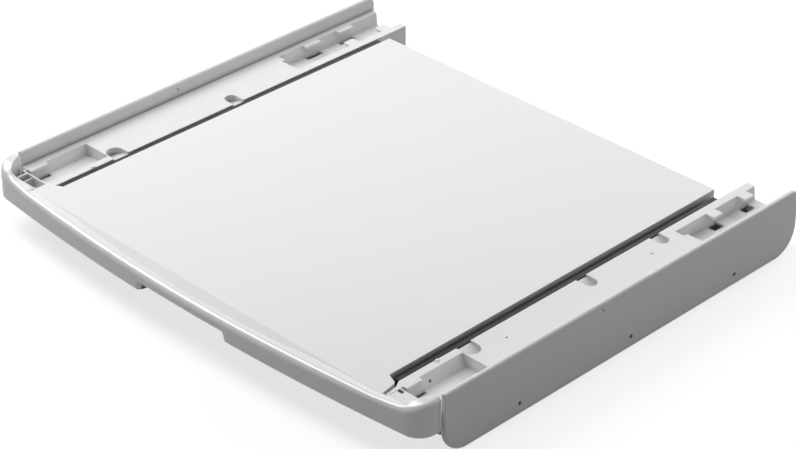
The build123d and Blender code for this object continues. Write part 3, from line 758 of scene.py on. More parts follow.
def hand_out(tree: bpy.types.NodeTree, given: bpy.types.Node, instances: bpy.types.NodeSocket) -> None:
    """End a tree: its instances are made real, get the input Finish and go out.

    Args:
        tree: the tree.
        given: its input node.
        instances: what it hands out.
    """
    real = tree.nodes.new("GeometryNodeRealizeInstances")
    finish = tree.nodes.new("GeometryNodeSetMaterial")
    out = tree.nodes.new("NodeGroupOutput")
    link = tree.links.new
    link(instances, real.inputs["Geometry"])
    link(real.outputs["Geometry"], finish.inputs["Geometry"])
    link(given.outputs["Finish"], finish.inputs["Material"])
    link(finish.outputs["Geometry"], out.inputs["Geometry"])


def scatter_tree() -> bpy.types.NodeTree:
    """The tree that sets one source piece on every point, turned by the point's own angles.

    Returns:
        A tree with the inputs Geometry, Source and Finish.
    """
    made = bpy.data.node_groups.get("set_on_points")
    if made:
        return made
    tree = geometry_tree("set_on_points",
                         (("Geometry", "Geometry"), ("Source", "Object"), ("Finish", "Material")))
    given = tree.nodes.new("NodeGroupInput")
    source = tree.nodes.new("GeometryNodeObjectInfo")
    turn = tree.nodes.new("GeometryNodeInputNamedAttribute")
    turn.data_type = "FLOAT_VECTOR"
    turn.inputs["Name"].default_value = "turn"
    angles = tree.nodes.new("FunctionNodeEulerToRotation")
    instances = tree.nodes.new("GeometryNodeInstanceOnPoints")
    link = tree.links.new
    link(given.outputs["Geometry"], instances.inputs["Points"])
    link(given.outputs["Source"], source.inputs["Object"])
    link(source.outputs["Geometry"], instances.inputs["Instance"])
    link(turn.outputs["Attribute"], angles.inputs["Euler"])
    link(angles.outputs["Rotation"], instances.inputs["Rotation"])
    hand_out(tree, given, instances.outputs["Instances"])
    return tree


def set_inputs(modifier: bpy.types.NodesModifier, values: dict[str, object]) -> None:
    """Set a Geometry Nodes modifier's inputs by the names of their sockets.

    Args:
        modifier: the modifier.
        values: what each named input gets.
    """
    for item in modifier.node_group.interface.items_tree:
        if item.item_type == "SOCKET" and item.in_out == "INPUT" and item.name in values:
            modifier[item.identifier] = values[item.name]


def scatter(name: str, points: Sequence[Vector], turns: Sequence[Sequence[float]],
            source: bpy.types.Object, finish: bpy.types.Material) -> bpy.types.Object:
    """Set copies of a source piece on points, as one plain mesh.

    Args:
        name: the new piece's name.
        points: where the copies go.
        turns: the three angles of each copy.
        source: the piece that is copied, which is deleted afterwards.
        finish: the material of the copies.

    Returns:
        The new object.
    """
    mesh = bpy.data.meshes.new(name)
    mesh.from_pydata([tuple(p) for p in points], [], [])
    turn = mesh.attributes.new("turn", "FLOAT_VECTOR", "POINT")
    turn.data.foreach_set("vector", [angle for angles in turns for angle in angles])
    obj = add_object(name, mesh)
    modifier = obj.modifiers.new("set_on_points", "NODES")
    modifier.node_group = scatter_tree()
    set_inputs(modifier, {"Source": source, "Finish": finish})
    bake(obj)
    bpy.data.objects.remove(source)
    return obj


@dataclass
class PanHeadScrew:
    """A pan-head screw with a cross recess, drawn along Z with its seat at the origin and its head up."""

    length: float
    radius: float = 2.0 * MM
    head_radius: float = 3.5 * MM
    head_height: float = 2.4 * MM
    thread_pitch: float = 0.9 * MM
    thread_depth: float = 0.22 * MM
    recess_reach: float = 1.9 * MM
    recess_width: float = 0.75 * MM
    recess_depth: float = 1.3 * MM
    recess_taper: float = 0.45
    cutter_rise: float = 1.2
    tip_share: float = 0.6
    shoulder_share: float = 0.45
    crown_share: float = 0.45
    crown_steps: int = 6
    sides: int = 28
    sharp_degrees: float = 32.0

    def profile(self) -> list[Point]:
        """Radius and height from the tip to the top of the head.

        Returns:
            The profile's points.
        """
        points = [(0.0, -self.length), (self.radius * self.tip_share, -self.length)]
        half_pitch = self.thread_pitch / 2
        root = half_pitch - self.length
        while root < -1.5 * half_pitch:
            points += [(self.radius - self.thread_depth, root), (self.radius, root + half_pitch / 2)]
            root += half_pitch
        points += [(self.radius, 0.0), (self.head_radius, 0.0)]
        shoulder = self.head_height * self.shoulder_share
        for step in range(self.crown_steps + 1):
            turn = math.radians(90 * step / self.crown_steps)
            reach = self.crown_share + (1 - self.crown_share) * math.cos(turn)
            points.append((self.head_radius * reach,
                           shoulder + (self.head_height - shoulder) * math.sin(turn)))
        return points + [(0.0, self.head_height)]

    def lathe(self, name: str, profile: Sequence[Point]) -> bpy.types.Object:
        """Turn a profile about Z into a closed body.

        Args:
            name: the object's name.
            profile: radius and height of each ring, with both ends on the axis.

        Returns:
            The object.
        """
        bm = bmesh.new()
        rings = []
        for radius, z in profile:
            count = self.sides if radius > 0 else 1
            rings.append([bm.verts.new((radius * math.cos(2 * math.pi * i / count),
                                        radius * math.sin(2 * math.pi * i / count), z))
                          for i in range(count)])
        for low, high in zip(rings, rings[1:]):
            for i in range(self.sides):
                j = (i + 1) % self.sides
                corners = [low[i % len(low)], low[j % len(low)], high[j % len(high)], high[i % len(high)]]
                corners = list(dict.fromkeys(corners))
                if len(corners) > 2:
                    bm.faces.new(corners)
        return closed_mesh(bm, name)

    def cross(self, name: str) -> bpy.types.Object:
        """The tapered cross that its recess is cut with.

        Args:
            name: the object's name.

        Returns:
            The cutter.
        """
        reach, half = self.recess_reach, self.recess_width / 2
        plan = [(reach, half), (half, half), (half, reach), (-half, reach), (-half, half), (-reach, half),
                (-reach, -half), (-half, -half), (-half, -reach), (half, -reach), (half, -half),
                (reach, -half)]
        bm = bmesh.new()
        levels = ((self.head_height * self.cutter_rise, 1.0),
                  (self.head_height - self.recess_depth, self.recess_taper))
        top, low = [[bm.verts.new((x * k, y * k, z)) for x, y in plan] for z, k in levels]
        bm.faces.new(top)
        bm.faces.new(low)
        for i in range(len(plan)):
            j = (i + 1) % len(plan)
            bm.faces.new((top[i], top[j], low[j], low[i]))
        return closed_mesh(bm, name)

    def make(self, name: str) -> bpy.types.Object:
        """Build the screw.

        Args:
            name: the object's name.

        Returns:
            The screw as a plain mesh.
        """
        screw = self.lathe(name, self.profile())
        combine(screw, self.cross(name + "_cutter"), "DIFFERENCE")
        return smooth(screw, self.sharp_degrees)


# Sub-assemblies


@dataclass
class SideRail:
    """One side of the frame: the rail and the skirt that stands beside it."""

    side: Side
    finishes: Finishes
    rail_above: float = 37.0 * MM
    rail_edge: float = 0.4 * MM
    seam_x: float = 298.9 * MM
    skirt_edge: float = 0.6 * MM
    nub_low: Triple = (244.4, -180.6, 53.9)
    nub_high: Triple = (247.6, -176.8, 55.4)
    nub_round: float = 0.5
    mark_low: Triple = (252.9, -247.0, 48.0)
    mark_high: Triple = (260.5, -237.4, 53.8)
    mark_round: float = 0.2

    def detail(self, name: str, low: Sequence[float], high: Sequence[float], radius: float) -> None:
        """A small block moulded on the rail, given for the right side.

        Args:
            name: what it is.
            low: its lowest corner in millimetres.
            high: its highest corner in millimetres.
            radius: its rounding in millimetres.
        """
        sign, word = self.side.value, self.side.word
        xs = sorted((sign * low[0], sign * high[0]))
        block = soft_block(f"{word}_rail_{name}", (xs[0], *low[1:]), (xs[1], *high[1:]), radius)
        place(block, Body.KIT_FRAME, Slot.RAIL, self.finishes.rail, f"{word}_rail")

    def build(self) -> None:
        """Make the two mouldings with soft edges, and the rail's small details."""
        word = self.side.word
        self.detail("ledge_nub", self.nub_low, self.nub_high, self.nub_round)
        if self.side is Side.RIGHT:
            self.detail("nose_mark", self.mark_low, self.mark_high, self.mark_round)
        soft = SoftEdges(width=self.rail_edge, above=self.rail_above, wide_beyond=self.seam_x)
        rail = soft.copy(f"{word}_rail", f"{word}_rail_moulding")
        place(rail, Body.KIT_FRAME, Slot.RAIL, self.finishes.rail, f"{word}_rail")
        skirt = SoftEdges(width=self.skirt_edge).copy(f"{word}_skirt", f"{word}_skirt_moulding")
        place(skirt, Body.KIT_FRAME, Slot.SKIRT, self.finishes.skirt, f"{word}_skirt")
        dress(f"{word}_anti_slip_pads", self.finishes.rubber)


@dataclass
class Runner:
    """One telescopic runner: three members, two cages with their balls, and the bumper."""

    side: Side
    finishes: Finishes
    ball_rings: int = 2
    sheet_edge: float = 0.2 * MM
    bend: float = 1.3 * MM
    longways: float = 60.0 * MM
    web_x: float = 243.9 * MM

    def balls(self, which: str) -> bpy.types.Object:
        """Fresh balls for one cage, set on the places of its solids.

        Args:
            which: outer or inner.

        Returns:
            The new object.
        """
        node = f"{self.side.word}_{which}_balls"
        centres, radius = loose_bodies(node)
        ball = bmesh.new()
        bmesh.ops.create_icosphere(ball, subdivisions=self.ball_rings, radius=radius)
        source = add_object(node + "_source", mesh_from(ball, node + "_source"))
        source.data.shade_smooth()
        log.info("%s: %d balls", node, len(centres))
        unturned = [(0.0, 0.0, 0.0)] * len(centres)
        return scatter(node + "_set", centres, unturned, source, self.finishes.ball)

    def build(self) -> None:
        """Dress the members and make the balls."""
        word = self.side.word
        bent = SoftEdges(width=self.sheet_edge, shortest=self.longways, wide_beyond=self.web_x,
                         wide_above=0.0, wide_width=self.bend)
        profile = bent.copy(f"{word}_runner_outer", f"{word}_runner_profile")
        place(profile, Body.KIT_FRAME, Slot.RUNNER, self.finishes.runner, f"{word}_runner_outer")
        for member in ("middle", "inner"):
            dress(f"{word}_runner_{member}", self.finishes.runner)
        dress(f"{word}_runner_bumper", self.finishes.rubber)
        for which in ("outer", "inner"):
            dress(f"{word}_{which}_ball_cage", self.finishes.cage)
            balls = self.balls(which)
            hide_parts(f"{word}_{which}_balls")
            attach(balls, f"{word}_{which}_cage")


@dataclass
class Screws:
    finishes: Finishes
    rail_wall: float = 3.0 * MM
    rail_inner_x: float = 244.1 * MM
    rail_outer_x: float = 299.0 * MM
    shelf_half_width: float = 232.8 * MM
    runner_z: float = 39.3 * MM
    cross_seat_x: float = 256.0 * MM
    cross_seat_z: float = 22.5 * MM
    skirt_screw_z: float = 31.5 * MM
    runner_screw: float = 4.1 * MM
    skirt_screw: float = 7.0 * MM
    cross_screw: float = 9.3 * MM

    def row(self, name: str, body: Body, seats: Sequence[Vector], turns: Sequence[Sequence[float]],
            length: float) -> None:
        """Make one group of like screws.

        Args:
            name: the node that they replace.
            body: the body that they ride on.
            seats: where the heads sit.
            turns: how each is turned from pointing up.
            length: the shank's length.
        """
        source = PanHeadScrew(length).make(name + "_source")
        obj = scatter(name + "_set", seats, turns, source, self.finishes.screw)
        place(obj, body, Slot.SCREW, None, name)
        log.info("%s: %d screws", name, len(seats))

    def places_along(self, node: str) -> list[float]:
        """Args:
            node: the group's node.

        Returns:
            Their places on Y, each once.
        """
        centres, _ = loose_bodies(node)
        return sorted({round(centre.y, 5) for centre in centres})

    def across(self, name: str, body: Body, x: float, z: float, heads_inwards: bool, length: float) -> None:
        """Args:
            name: the node that they replace.
            body: the body that they ride on.
            x: how far the seats are from the middle.
            z: their height.
            heads_inwards: whether the heads point to the middle.
            length: the shank's length.
        """
        seats, turns = [], []
        for side in Side:
            sign = -side.value if heads_inwards else side.value
            for y in self.places_along(name):
                seats.append(Vector((side.value * x, y, z)))
                turns.append((0.0, sign * math.pi / 2, 0.0))
        self.row(name, body, seats, turns, length)

    def build(self) -> None:
        """Make the four groups."""
        self.across("outer_runner_screws", Body.KIT_FRAME, self.rail_inner_x + self.rail_wall, self.runner_z,
                    False, self.runner_screw)
        self.across("inner_runner_screws", Body.SHELF, self.shelf_half_width - self.rail_wall, self.runner_z,
                    True, self.runner_screw)
        self.across("skirt_screws", Body.KIT_FRAME, self.rail_outer_x - self.rail_wall, self.skirt_screw_z,
                    True, self.skirt_screw)
        seats = [Vector((x, y, self.cross_seat_z)) for x in (-self.cross_seat_x, self.cross_seat_x)
                 for y in self.places_along("cross_member_screws")]
        self.row("cross_member_screws", Body.KIT_FRAME, seats, [(math.pi, 0.0, 0.0)] * len(seats),
                 self.cross_screw)


@dataclass(frozen=True)
class Curve:
    """A smooth curve through a table of values, which never overshoots them."""

    table: tuple[tuple[float, ...], ...]

    def slopes(self, column: int) -> list[float]:
        """Slopes of one column at the table's own places.

        Args:
            column: which value of each row.

        Returns:
            One slope for each row, zero where the values turn.
        """
        rows = self.table
        steps = [(b[column] - a[column]) / (b[0] - a[0]) for a, b in zip(rows, rows[1:])]
        inner = [0.0 if a * b <= 0 else 2 * a * b / (a + b) for a, b in zip(steps, steps[1:])]
        return [steps[0], *inner, steps[-1]]

    def at(self, place: float, column: int = 1) -> float:
        """The curve's value at a place.

        Args:
            place: where to read it.
            column: which value of each row.

        Returns:
            The value, held at the table's ends.
        """
        rows = self.table
        if place <= rows[0][0]:
            return rows[0][column]
        if place >= rows[-1][0]:
            return rows[-1][column]
        slopes = self.slopes(column)
        index = max(i for i, row in enumerate(rows) if row[0] <= place)
        low, high = rows[index], rows[index + 1]
        width = high[0] - low[0]
        t = (place - low[0]) / width
        return ((1 + 2 * t) * (1 - t) ** 2 * low[column] + t * (1 - t) ** 2 * width * slopes[index]
                + t * t * (3 - 2 * t) * high[column] + t * t * (t - 1) * width * slopes[index + 1])


@dataclass
class FingerRecess:
    """The recess in the bar's lower edge: its ends open out towards the face in a quarter of an ellipse."""

    front_y: float = -276.0
    foot_z: float = 33.5
    height: float = 10.3
    top_half: float = 52.5
    foot_half: float = 59.0
    mouth_depth: float = 8.7
    top_flare: float = 18.5
    foot_flare: float = 8.5
    depth: float = 17.0
    wall: float = 2.5
    inside_face: float = 1.5
    clearance: float = 1.0
    arc_steps: int = 12

    def level(self, half: float, flare: float, margin: float, z: float, start_y: float) -> list[Triple]:
        """The recess in plan at one level.

        Args:
            half: its half width behind the mouth.
            flare: how far the mouth opens out at the face.
            margin: how much larger it is all round.
            z: the level.
            start_y: where it starts; nothing reaches in front of this.

        Returns:
            The points in metres.
        """
        half += margin
        mouth_y = self.front_y + self.mouth_depth + margin
        right = [(half + flare, start_y)]
        for step in range(self.arc_steps + 1):
            turn = math.radians(90 * step / self.arc_steps)
            y = mouth_y - (mouth_y - self.front_y) * math.cos(turn)
            right.append((half + flare * (1 - math.sin(turn)), max(y, start_y)))
        right.append((half, self.front_y + self.depth + margin))
        if right[1] == right[0]:
            right.pop(0)
        points = right + [(-x, y) for x, y in reversed(right)]
        return [(x * MM, y * MM, z * MM) for x, y in points]

    def body(self, name: str, margin: float, below: float, start_y: float) -> bpy.types.Object:
        """The recess as a solid, or with a margin the walls round it.

        Args:
            name: the object's name.
            margin: how much larger it is all round.
            below: how far it reaches below the bar's foot.
            start_y: where it starts.

        Returns:
            The object.
        """
        bm = bmesh.new()
        levels = [(self.foot_half, self.foot_flare, self.foot_z - below)] if below else []
        levels += [(self.foot_half, self.foot_flare, self.foot_z),
                   (self.top_half, self.top_flare, self.foot_z + self.height + margin)]
        loft(bm, [self.level(half, flare, margin, z, start_y) for half, flare, z in levels])
        return closed_mesh(bm, name)

    def cut(self, bar: bpy.types.Object) -> None:
        """Wall the recess into the hollow bar and open it.

        Args:
            bar: the bar.
        """
        walls = self.body("recess_walls", self.wall, 0.0, self.front_y + self.inside_face)
        combine(bar, walls, "UNION")
        space = self.body("recess_space", 0.0, self.clearance, self.front_y - self.clearance)
        combine(bar, space, "DIFFERENCE")


@dataclass
class FrontBar:
    """The bowed bar: a hollow section swept along its face, with a rounded top that climbs to the corners.

    Sizes are in millimetres. Places along the bar are lengths along its face from the middle, and heights
    are measured from the top of the rails.
    """

    half_width: float = 305.0
    front_y: float = -276.0
    back_y: float = -233.2
    deck_y: float = -253.3
    bow_sag: float = 17.3
    corner_radius: float = 20.4
    foot_z: float = 33.5
    rail_top_z: float = 54.3
    deck_rise: float = 2.3
    crescent_slope: float = 2.1 / 14.7
    rim_start: float = 250.4
    wall: float = 3.0
    foot_round: float = 0.8
    inner_round: float = 0.8
    deck_round: float = 0.045
    chamfer_share: float = 0.3
    crease: float = 0.45
    hollow_points: int = 5
    arc_steps: int = 10
    bow_steps: int = 24
    rim_steps: int = 10
    corner_steps: int = 18
    rim_gap: float = 0.2
    sharp_degrees: float = 33.0
    face_heights: Curve = Curve(((0, 0.5), (75, 1.0), (157, 2.0), (215, 3.4), (257, 5.0), (281, 7.5),
                                 (297, 11.0), (311, 14.9), (318, 15.7), (325, 15.7)))
    rounding: Curve = Curve(((0, 6.5), (280, 6.5), (300, 5.6), (325, 4.4)))
    crest_line: Curve = Curve(((0, -266.0), (64, -264.8), (128, -261.0), (161, -257.4), (199, -255.2),
                               (249, -253.9)))
    inner_line: Curve = Curve(((250.7, 250.4, -252.0, 2.6), (269, 268.6, -251.6, 4.5),
                               (281, 276.4, -252.2, 6.4), (289, 281.6, -253.0, 9.0),
                               (297, 285.2, -251.8, 11.6), (305, 288.4, -248.0, 13.7),
                               (313, 291.8, -242.4, 15.0), (325, 296.0, -233.2, 15.7)))

    def __post_init__(self) -> None:
        """Work out the bow's circle and the corner's centre."""
        self.bow_radius = (self.half_width**2 + self.bow_sag**2) / (2 * self.bow_sag)
        self.centre_x = self.half_width - self.corner_radius
        reach = self.bow_radius - self.corner_radius
        self.centre_y = self.front_y + self.bow_radius - math.sqrt(reach**2 - self.centre_x**2)
        self.corner_start = self.bow_radius * math.asin(self.centre_x / reach)
        self.corner_length = self.corner_radius * (math.pi / 2 - math.asin(self.centre_x / reach))
        self.length = self.corner_start + self.corner_length + self.back_y - self.centre_y

    def face_point(self, place: float) -> Point:
        """A point of the face's plan.

        Args:
            place: length along the face.

        Returns:
            X and Y.
        """
        if place <= self.corner_start:
            turn = place / self.bow_radius
            return (self.bow_radius * math.sin(turn),
                    self.front_y + self.bow_radius * (1 - math.cos(turn)))
        past = place - self.corner_start
        if past <= self.corner_length:
            turn = self.corner_start / self.bow_radius + past / self.corner_radius
            return (self.centre_x + self.corner_radius * math.sin(turn),
                    self.centre_y - self.corner_radius * math.cos(turn))
        return self.half_width, self.centre_y + past - self.corner_length

    def over_corner(self, start: Point, corner: Point, end: Point) -> list[Point]:
        """A rounding that leaves one line, bends under a corner and meets the other line.

        Args:
            start: where it starts.
            corner: where the two lines cross.
            end: where it ends.

        Returns:
            Its points, with both ends.
        """
        points = []
        for step in range(self.arc_steps + 1):
            t = step / self.arc_steps
            weights = ((1 - t) ** 2, math.sqrt(2) * t * (1 - t), t * t)
            points.append(tuple(sum(w * value for w, value in zip(weights, values)) / sum(weights)
                                for values in zip(start, corner, end)))
        return points

    def section(self, place: float) -> list[Triple]:
        """The closed section at a place: outside from the foot up and over, then back through the hollow.

        Args:
            place: length along the face.

        Returns:
            Points in metres.
        """
        x, y = self.face_point(place)
        rounding = self.rounding.at(place)
        face_z = self.rail_top_z + self.face_heights.at(place)
        if x < self.rim_start:
            inner = (x, self.deck_y)
            end_z = self.rail_top_z + self.deck_rise
            crest = self.crest_line.at(place) - y
            crest_z = end_z - self.crescent_slope * (self.deck_y - self.crest_line.at(place))
            edge = self.deck_round
        else:
            inner = (self.inner_line.at(place, 1), self.inner_line.at(place, 2))
            end_z = self.rail_top_z + self.inner_line.at(place, 3)
            edge = self.inner_round
        width = math.hypot(inner[0] - x, inner[1] - y)
        if x >= self.rim_start:
            crest = (rounding + width - edge) / 2
            crest_z = face_z + (end_z - face_z) * crest / width
        slope_in = (crest_z - face_z) / crest
        slope_out = (end_z - crest_z) / (width - crest)
        crease = min(self.crease, (width - edge - crest) / 2)
        share, foot, wall = self.chamfer_share, self.foot_z, self.wall
        face_top = (0.0, face_z - rounding)
        top_start = (rounding, face_z + slope_in * rounding)
        points = [(self.foot_round, foot), (self.foot_round * share, foot + self.foot_round * share),
                  (0.0, foot + self.foot_round)]
        points += self.over_corner(face_top, (0.0, face_z), top_start)
        points += [(crest - crease, crest_z - slope_in * crease), (crest, crest_z),
                   (crest + crease, crest_z + slope_out * crease),
                   (width - edge, end_z - slope_out * edge), (width - share * edge, end_z - share * edge),
                   (width, end_z - edge), (width, foot)]
        points += [(width - wall, foot), (width - wall, end_z - wall), (rounding, top_start[1] - wall),
                   (wall, face_top[1]), (wall, foot)]
        along = ((inner[0] - x) / width, (inner[1] - y) / width)
        return [((x + along[0] * s) * MM, (y + along[1] * s) * MM, z * MM) for s, z in points]

    def places(self) -> list[float]:
        """Where the sections stand, closer together round the corners.

        Returns:
            Lengths along the face, from the middle to just before the seam.
        """
        rim = self.bow_radius * math.asin(self.rim_start / self.bow_radius)
        end = self.length - self.wall
        places = [rim * k / self.bow_steps for k in range(self.bow_steps)]
        places += [rim - self.rim_gap, rim + self.rim_gap]
        places += [rim + (self.corner_start - rim) * k / self.rim_steps for k in range(1, self.rim_steps)]
        return places + [self.corner_start + (end - self.corner_start) * k / self.corner_steps
                         for k in range(self.corner_steps + 1)]

    def end_wall(self, bm: bmesh.types.BMesh, side: Side) -> None:
        """The wall that closes the bar at its seam with the skirt.

        Args:
            bm: the bmesh that gets it.
            side: which end.
        """
        loops = []
        for place in (self.length - self.wall - self.crease, self.length):
            loop = self.section(place)[:-self.hollow_points]
            loops.append([(side.value * x, y, z) for x, y, z in loop])
        loft(bm, loops)

    def build(self) -> bpy.types.Object:
        """Make the bar.

        Returns:
            The finished object.
        """
        right = [self.section(place) for place in self.places()]
        left = [[(-x, y, z) for x, y, z in loop] for loop in right[:0:-1]]
        bm = bmesh.new()
        loft(bm, left + right)
        bar = closed_mesh(bm, "front_bar")
        FingerRecess().cut(bar)
        bm = bmesh.new()
        bm.from_mesh(bar.data)
        for side in Side:
            self.end_wall(bm, side)
        bmesh.ops.recalc_face_normals(bm, faces=bm.faces)
        bm.to_mesh(bar.data)
        bm.free()
        return smooth(bar, self.sharp_degrees)


@dataclass
class Deck:
    """The flat shelf with its side walls, open below, in millimetres."""

    half_width: float = 232.8
    front_y: float = -253.3
    rear_y: float = 234.0
    top_z: float = 56.6
    plate: float = 3.0
    wall: float = 3.0
    foot_z: float = 33.5
    corner_radius: float = 2.0
    corner_steps: int = 4
    edge_round: float = 0.8
    edge_segments: int = 3
    sharp_degrees: float = 33.0
    shoulders: tuple[Point, ...] = ((232.8, -227.9), (243.5, -230.5), (246.7, -233.8), (249.1, -248.4),
                                    (250.4, -253.45))

    def outline(self) -> list[Point]:
        """Plan of the shelf, anticlockwise from its right front corner.

        Returns:
            The points.
        """
        right = list(reversed(self.shoulders))
        radius = self.corner_radius
        for step in range(self.corner_steps + 1):
            turn = math.radians(90 * step / self.corner_steps)
            right.append((self.half_width - radius + radius * math.cos(turn),
                          self.rear_y - radius + radius * math.sin(turn)))
        return right + [(-x, y) for x, y in reversed(right)]

    def inset(self, points: Sequence[Point]) -> list[Point]:
        """An outline moved inwards by the wall's thickness.

        Args:
            points: an anticlockwise outline.

        Returns:
            As many points.
        """
        moved = []
        for before, here, after in zip([points[-1], *points[:-1]], points, [*points[1:], points[0]]):
            normals = []
            for a, b in ((before, here), (here, after)):
                length = math.hypot(b[0] - a[0], b[1] - a[1])
                normals.append(((a[1] - b[1]) / length, (b[0] - a[0]) / length))
            (ax, ay), (bx, by) = normals
            scale = self.wall / (1 + ax * bx + ay * by)
            moved.append((here[0] + (ax + bx) * scale, here[1] + (ay + by) * scale))
        return moved

    def build(self) -> bpy.types.Object:
        """Make the shelf as one closed skin.

        Returns:
            The finished object.
        """
        outer = self.outline()
        inner = self.inset(outer)
        levels = ((outer, self.top_z), (outer, self.foot_z), (inner, self.foot_z),
                  (inner, self.top_z - self.plate))
        bm = bmesh.new()
        loft(bm, [[(x * MM, y * MM, z * MM) for x, y in plan] for plan, z in levels])
        top = self.top_z * MM
        rim = [edge for edge in bm.edges if all(abs(v.co.z - top) < MERGE for v in edge.verts)
               and max(v.co.y for v in edge.verts) > self.front_y * MM]
        round_edges(bm, rim, self.edge_round * MM, self.edge_segments)
        return smooth(closed_mesh(bm, "shelf_deck"), self.sharp_degrees)


@dataclass
class ShelfRibs:
    """The grid of ribs below the shelf, made by Geometry Nodes, in metres."""

    half_width: float = 231.3 * MM
    front_y: float = -253.0 * MM
    rear_y: float = 233.0 * MM
    top_z: float = 53.9 * MM
    depth: float = 10.3 * MM
    thickness: float = 2.5 * MM
    along_count: int = 9
    across_count: int = 8

    def row(self, tree: bpy.types.NodeTree, given: bpy.types.Node, count: str, size: tuple[str, str, str],
            step: tuple[str | None, str | None]) -> bpy.types.NodeSocket:
        """A row of like ribs inside the tree, centred: it starts half its pitches before the middle.

        Args:
            tree: the tree.
            given: its input node.
            count: the input that counts the ribs.
            size: the inputs that give a rib's size along X, Y and Z.
            step: the inputs that give the pitch along X and along Y, or None.

        Returns:
            The row's instances.
        """
        rib = tree.nodes.new("GeometryNodeMeshCube")
        dimensions = tree.nodes.new("ShaderNodeCombineXYZ")
        pitch = tree.nodes.new("ShaderNodeCombineXYZ")
        line = tree.nodes.new("GeometryNodeMeshLine")
        instances = tree.nodes.new("GeometryNodeInstanceOnPoints")
        link = tree.links.new
        for name, axis in zip(size, "XYZ"):
            link(given.outputs[name], dimensions.inputs[axis])
        for name, axis in zip(step, "XY"):
            if name:
                link(given.outputs[name], pitch.inputs[axis])
        span = tree.nodes.new("ShaderNodeVectorMath")
        span.operation = "SCALE"
        link(pitch.outputs[0], span.inputs[0])
        link(calculate(tree, "MULTIPLY_ADD", given.outputs[count], -0.5, 0.5), span.inputs["Scale"])
        link(dimensions.outputs[0], rib.inputs["Size"])
        link(given.outputs[count], line.inputs["Count"])
        link(span.outputs[0], line.inputs["Start Location"])
        link(pitch.outputs[0], line.inputs["Offset"])
        link(line.outputs["Mesh"], instances.inputs["Points"])
        link(rib.outputs["Mesh"], instances.inputs["Instance"])
        return instances.outputs["Instances"]

    def tree(self) -> bpy.types.NodeTree:
        """The grid's tree.

        Returns:
            A tree with named inputs for sizes, counts and the finish.
        """
        tree = geometry_tree("rib_grid", (
            ("Width", "Float"), ("Length", "Float"), ("Depth", "Float"), ("Thickness", "Float"),
            ("Along Pitch", "Float"), ("Across Pitch", "Float"), ("Along Count", "Int"),
            ("Across Count", "Int"), ("Middle", "Vector"), ("Finish", "Material")))
        given = tree.nodes.new("NodeGroupInput")
        along = self.row(tree, given, "Along Count", ("Thickness", "Length", "Depth"),
                         ("Along Pitch", None))
        across = self.row(tree, given, "Across Count", ("Width", "Thickness", "Depth"),
                          (None, "Across Pitch"))
        join = tree.nodes.new("GeometryNodeJoinGeometry")
        move = tree.nodes.new("GeometryNodeTransform")
        link = tree.links.new
        link(along, join.inputs["Geometry"])
        link(across, join.inputs["Geometry"])
        link(join.outputs["Geometry"], move.inputs["Geometry"])
        link(given.outputs["Middle"], move.inputs["Translation"])
        hand_out(tree, given, move.outputs["Geometry"])
        return tree

    def build(self, finish: bpy.types.Material) -> bpy.types.Object:
        """Make the ribs as one plain mesh.

        Args:
            finish: their material.

        Returns:
            The object.
        """
        obj = add_object("shelf_ribs", bpy.data.meshes.new("shelf_ribs"))
        modifier = obj.modifiers.new("rib_grid", "NODES")
        modifier.node_group = self.tree()
        length = self.rear_y - self.front_y
        set_inputs(modifier, {
            "Width": 2 * self.half_width, "Length": length, "Depth": self.depth,
            "Thickness": self.thickness, "Along Pitch": 2 * self.half_width / (self.along_count + 1),
            "Across Pitch": length / (self.across_count + 1), "Along Count": self.along_count,
            "Across Count": self.across_count, "Finish": finish,
            "Middle": (0.0, (self.front_y + self.rear_y) / 2, self.top_z - self.depth / 2)})
        return bake(obj)


@dataclass
class Shelf:
    """The pull-out shelf: its deck, its bowed front bar and the ribs below."""

    finishes: Finishes

    def build(self) -> None:
        """Make the three pieces of the moulding."""
        for piece in (FrontBar().build(), Deck().build()):
            place(piece, Body.SHELF, Slot.SHELF, self.finishes.shelf, "pull_out_shelf")
        ribs = ShelfRibs().build(self.finishes.shelf)
        place(ribs, Body.SHELF, Slot.SHELF, None, "pull_out_shelf")


@dataclass
class Underframe:
    """The two steel members that hold the rails apart."""

    finishes: Finishes

    def build(self) -> None:
        """Dress both members."""
        dress("front_cross_member", self.finishes.cross)
        dress("rear_cross_member", self.finishes.cross)


@dataclass(frozen=True)
class Softbox:
    """A rectangular lamp that points at a target, or a card that only shows in reflections."""

    name: str
    location: Triple
    target: Triple
    size: tuple[float, float]
    power: float
    reflected_only: bool = False

    def build(self) -> None:
        """Set the lamp up."""
        light = bpy.data.lights.new(self.name, "AREA")
        light.shape = "RECTANGLE"
        light.size, light.size_y = self.size
        light.energy = self.power
        obj = bpy.data.objects.new(self.name, light)
        bpy.context.scene.collection.objects.link(obj)
        obj.location = self.location
        obj.visible_diffuse = not self.reflected_only
        aim = Vector(self.target) - Vector(self.location)
        obj.rotation_euler = aim.to_track_quat("-Z", "Y").to_euler()


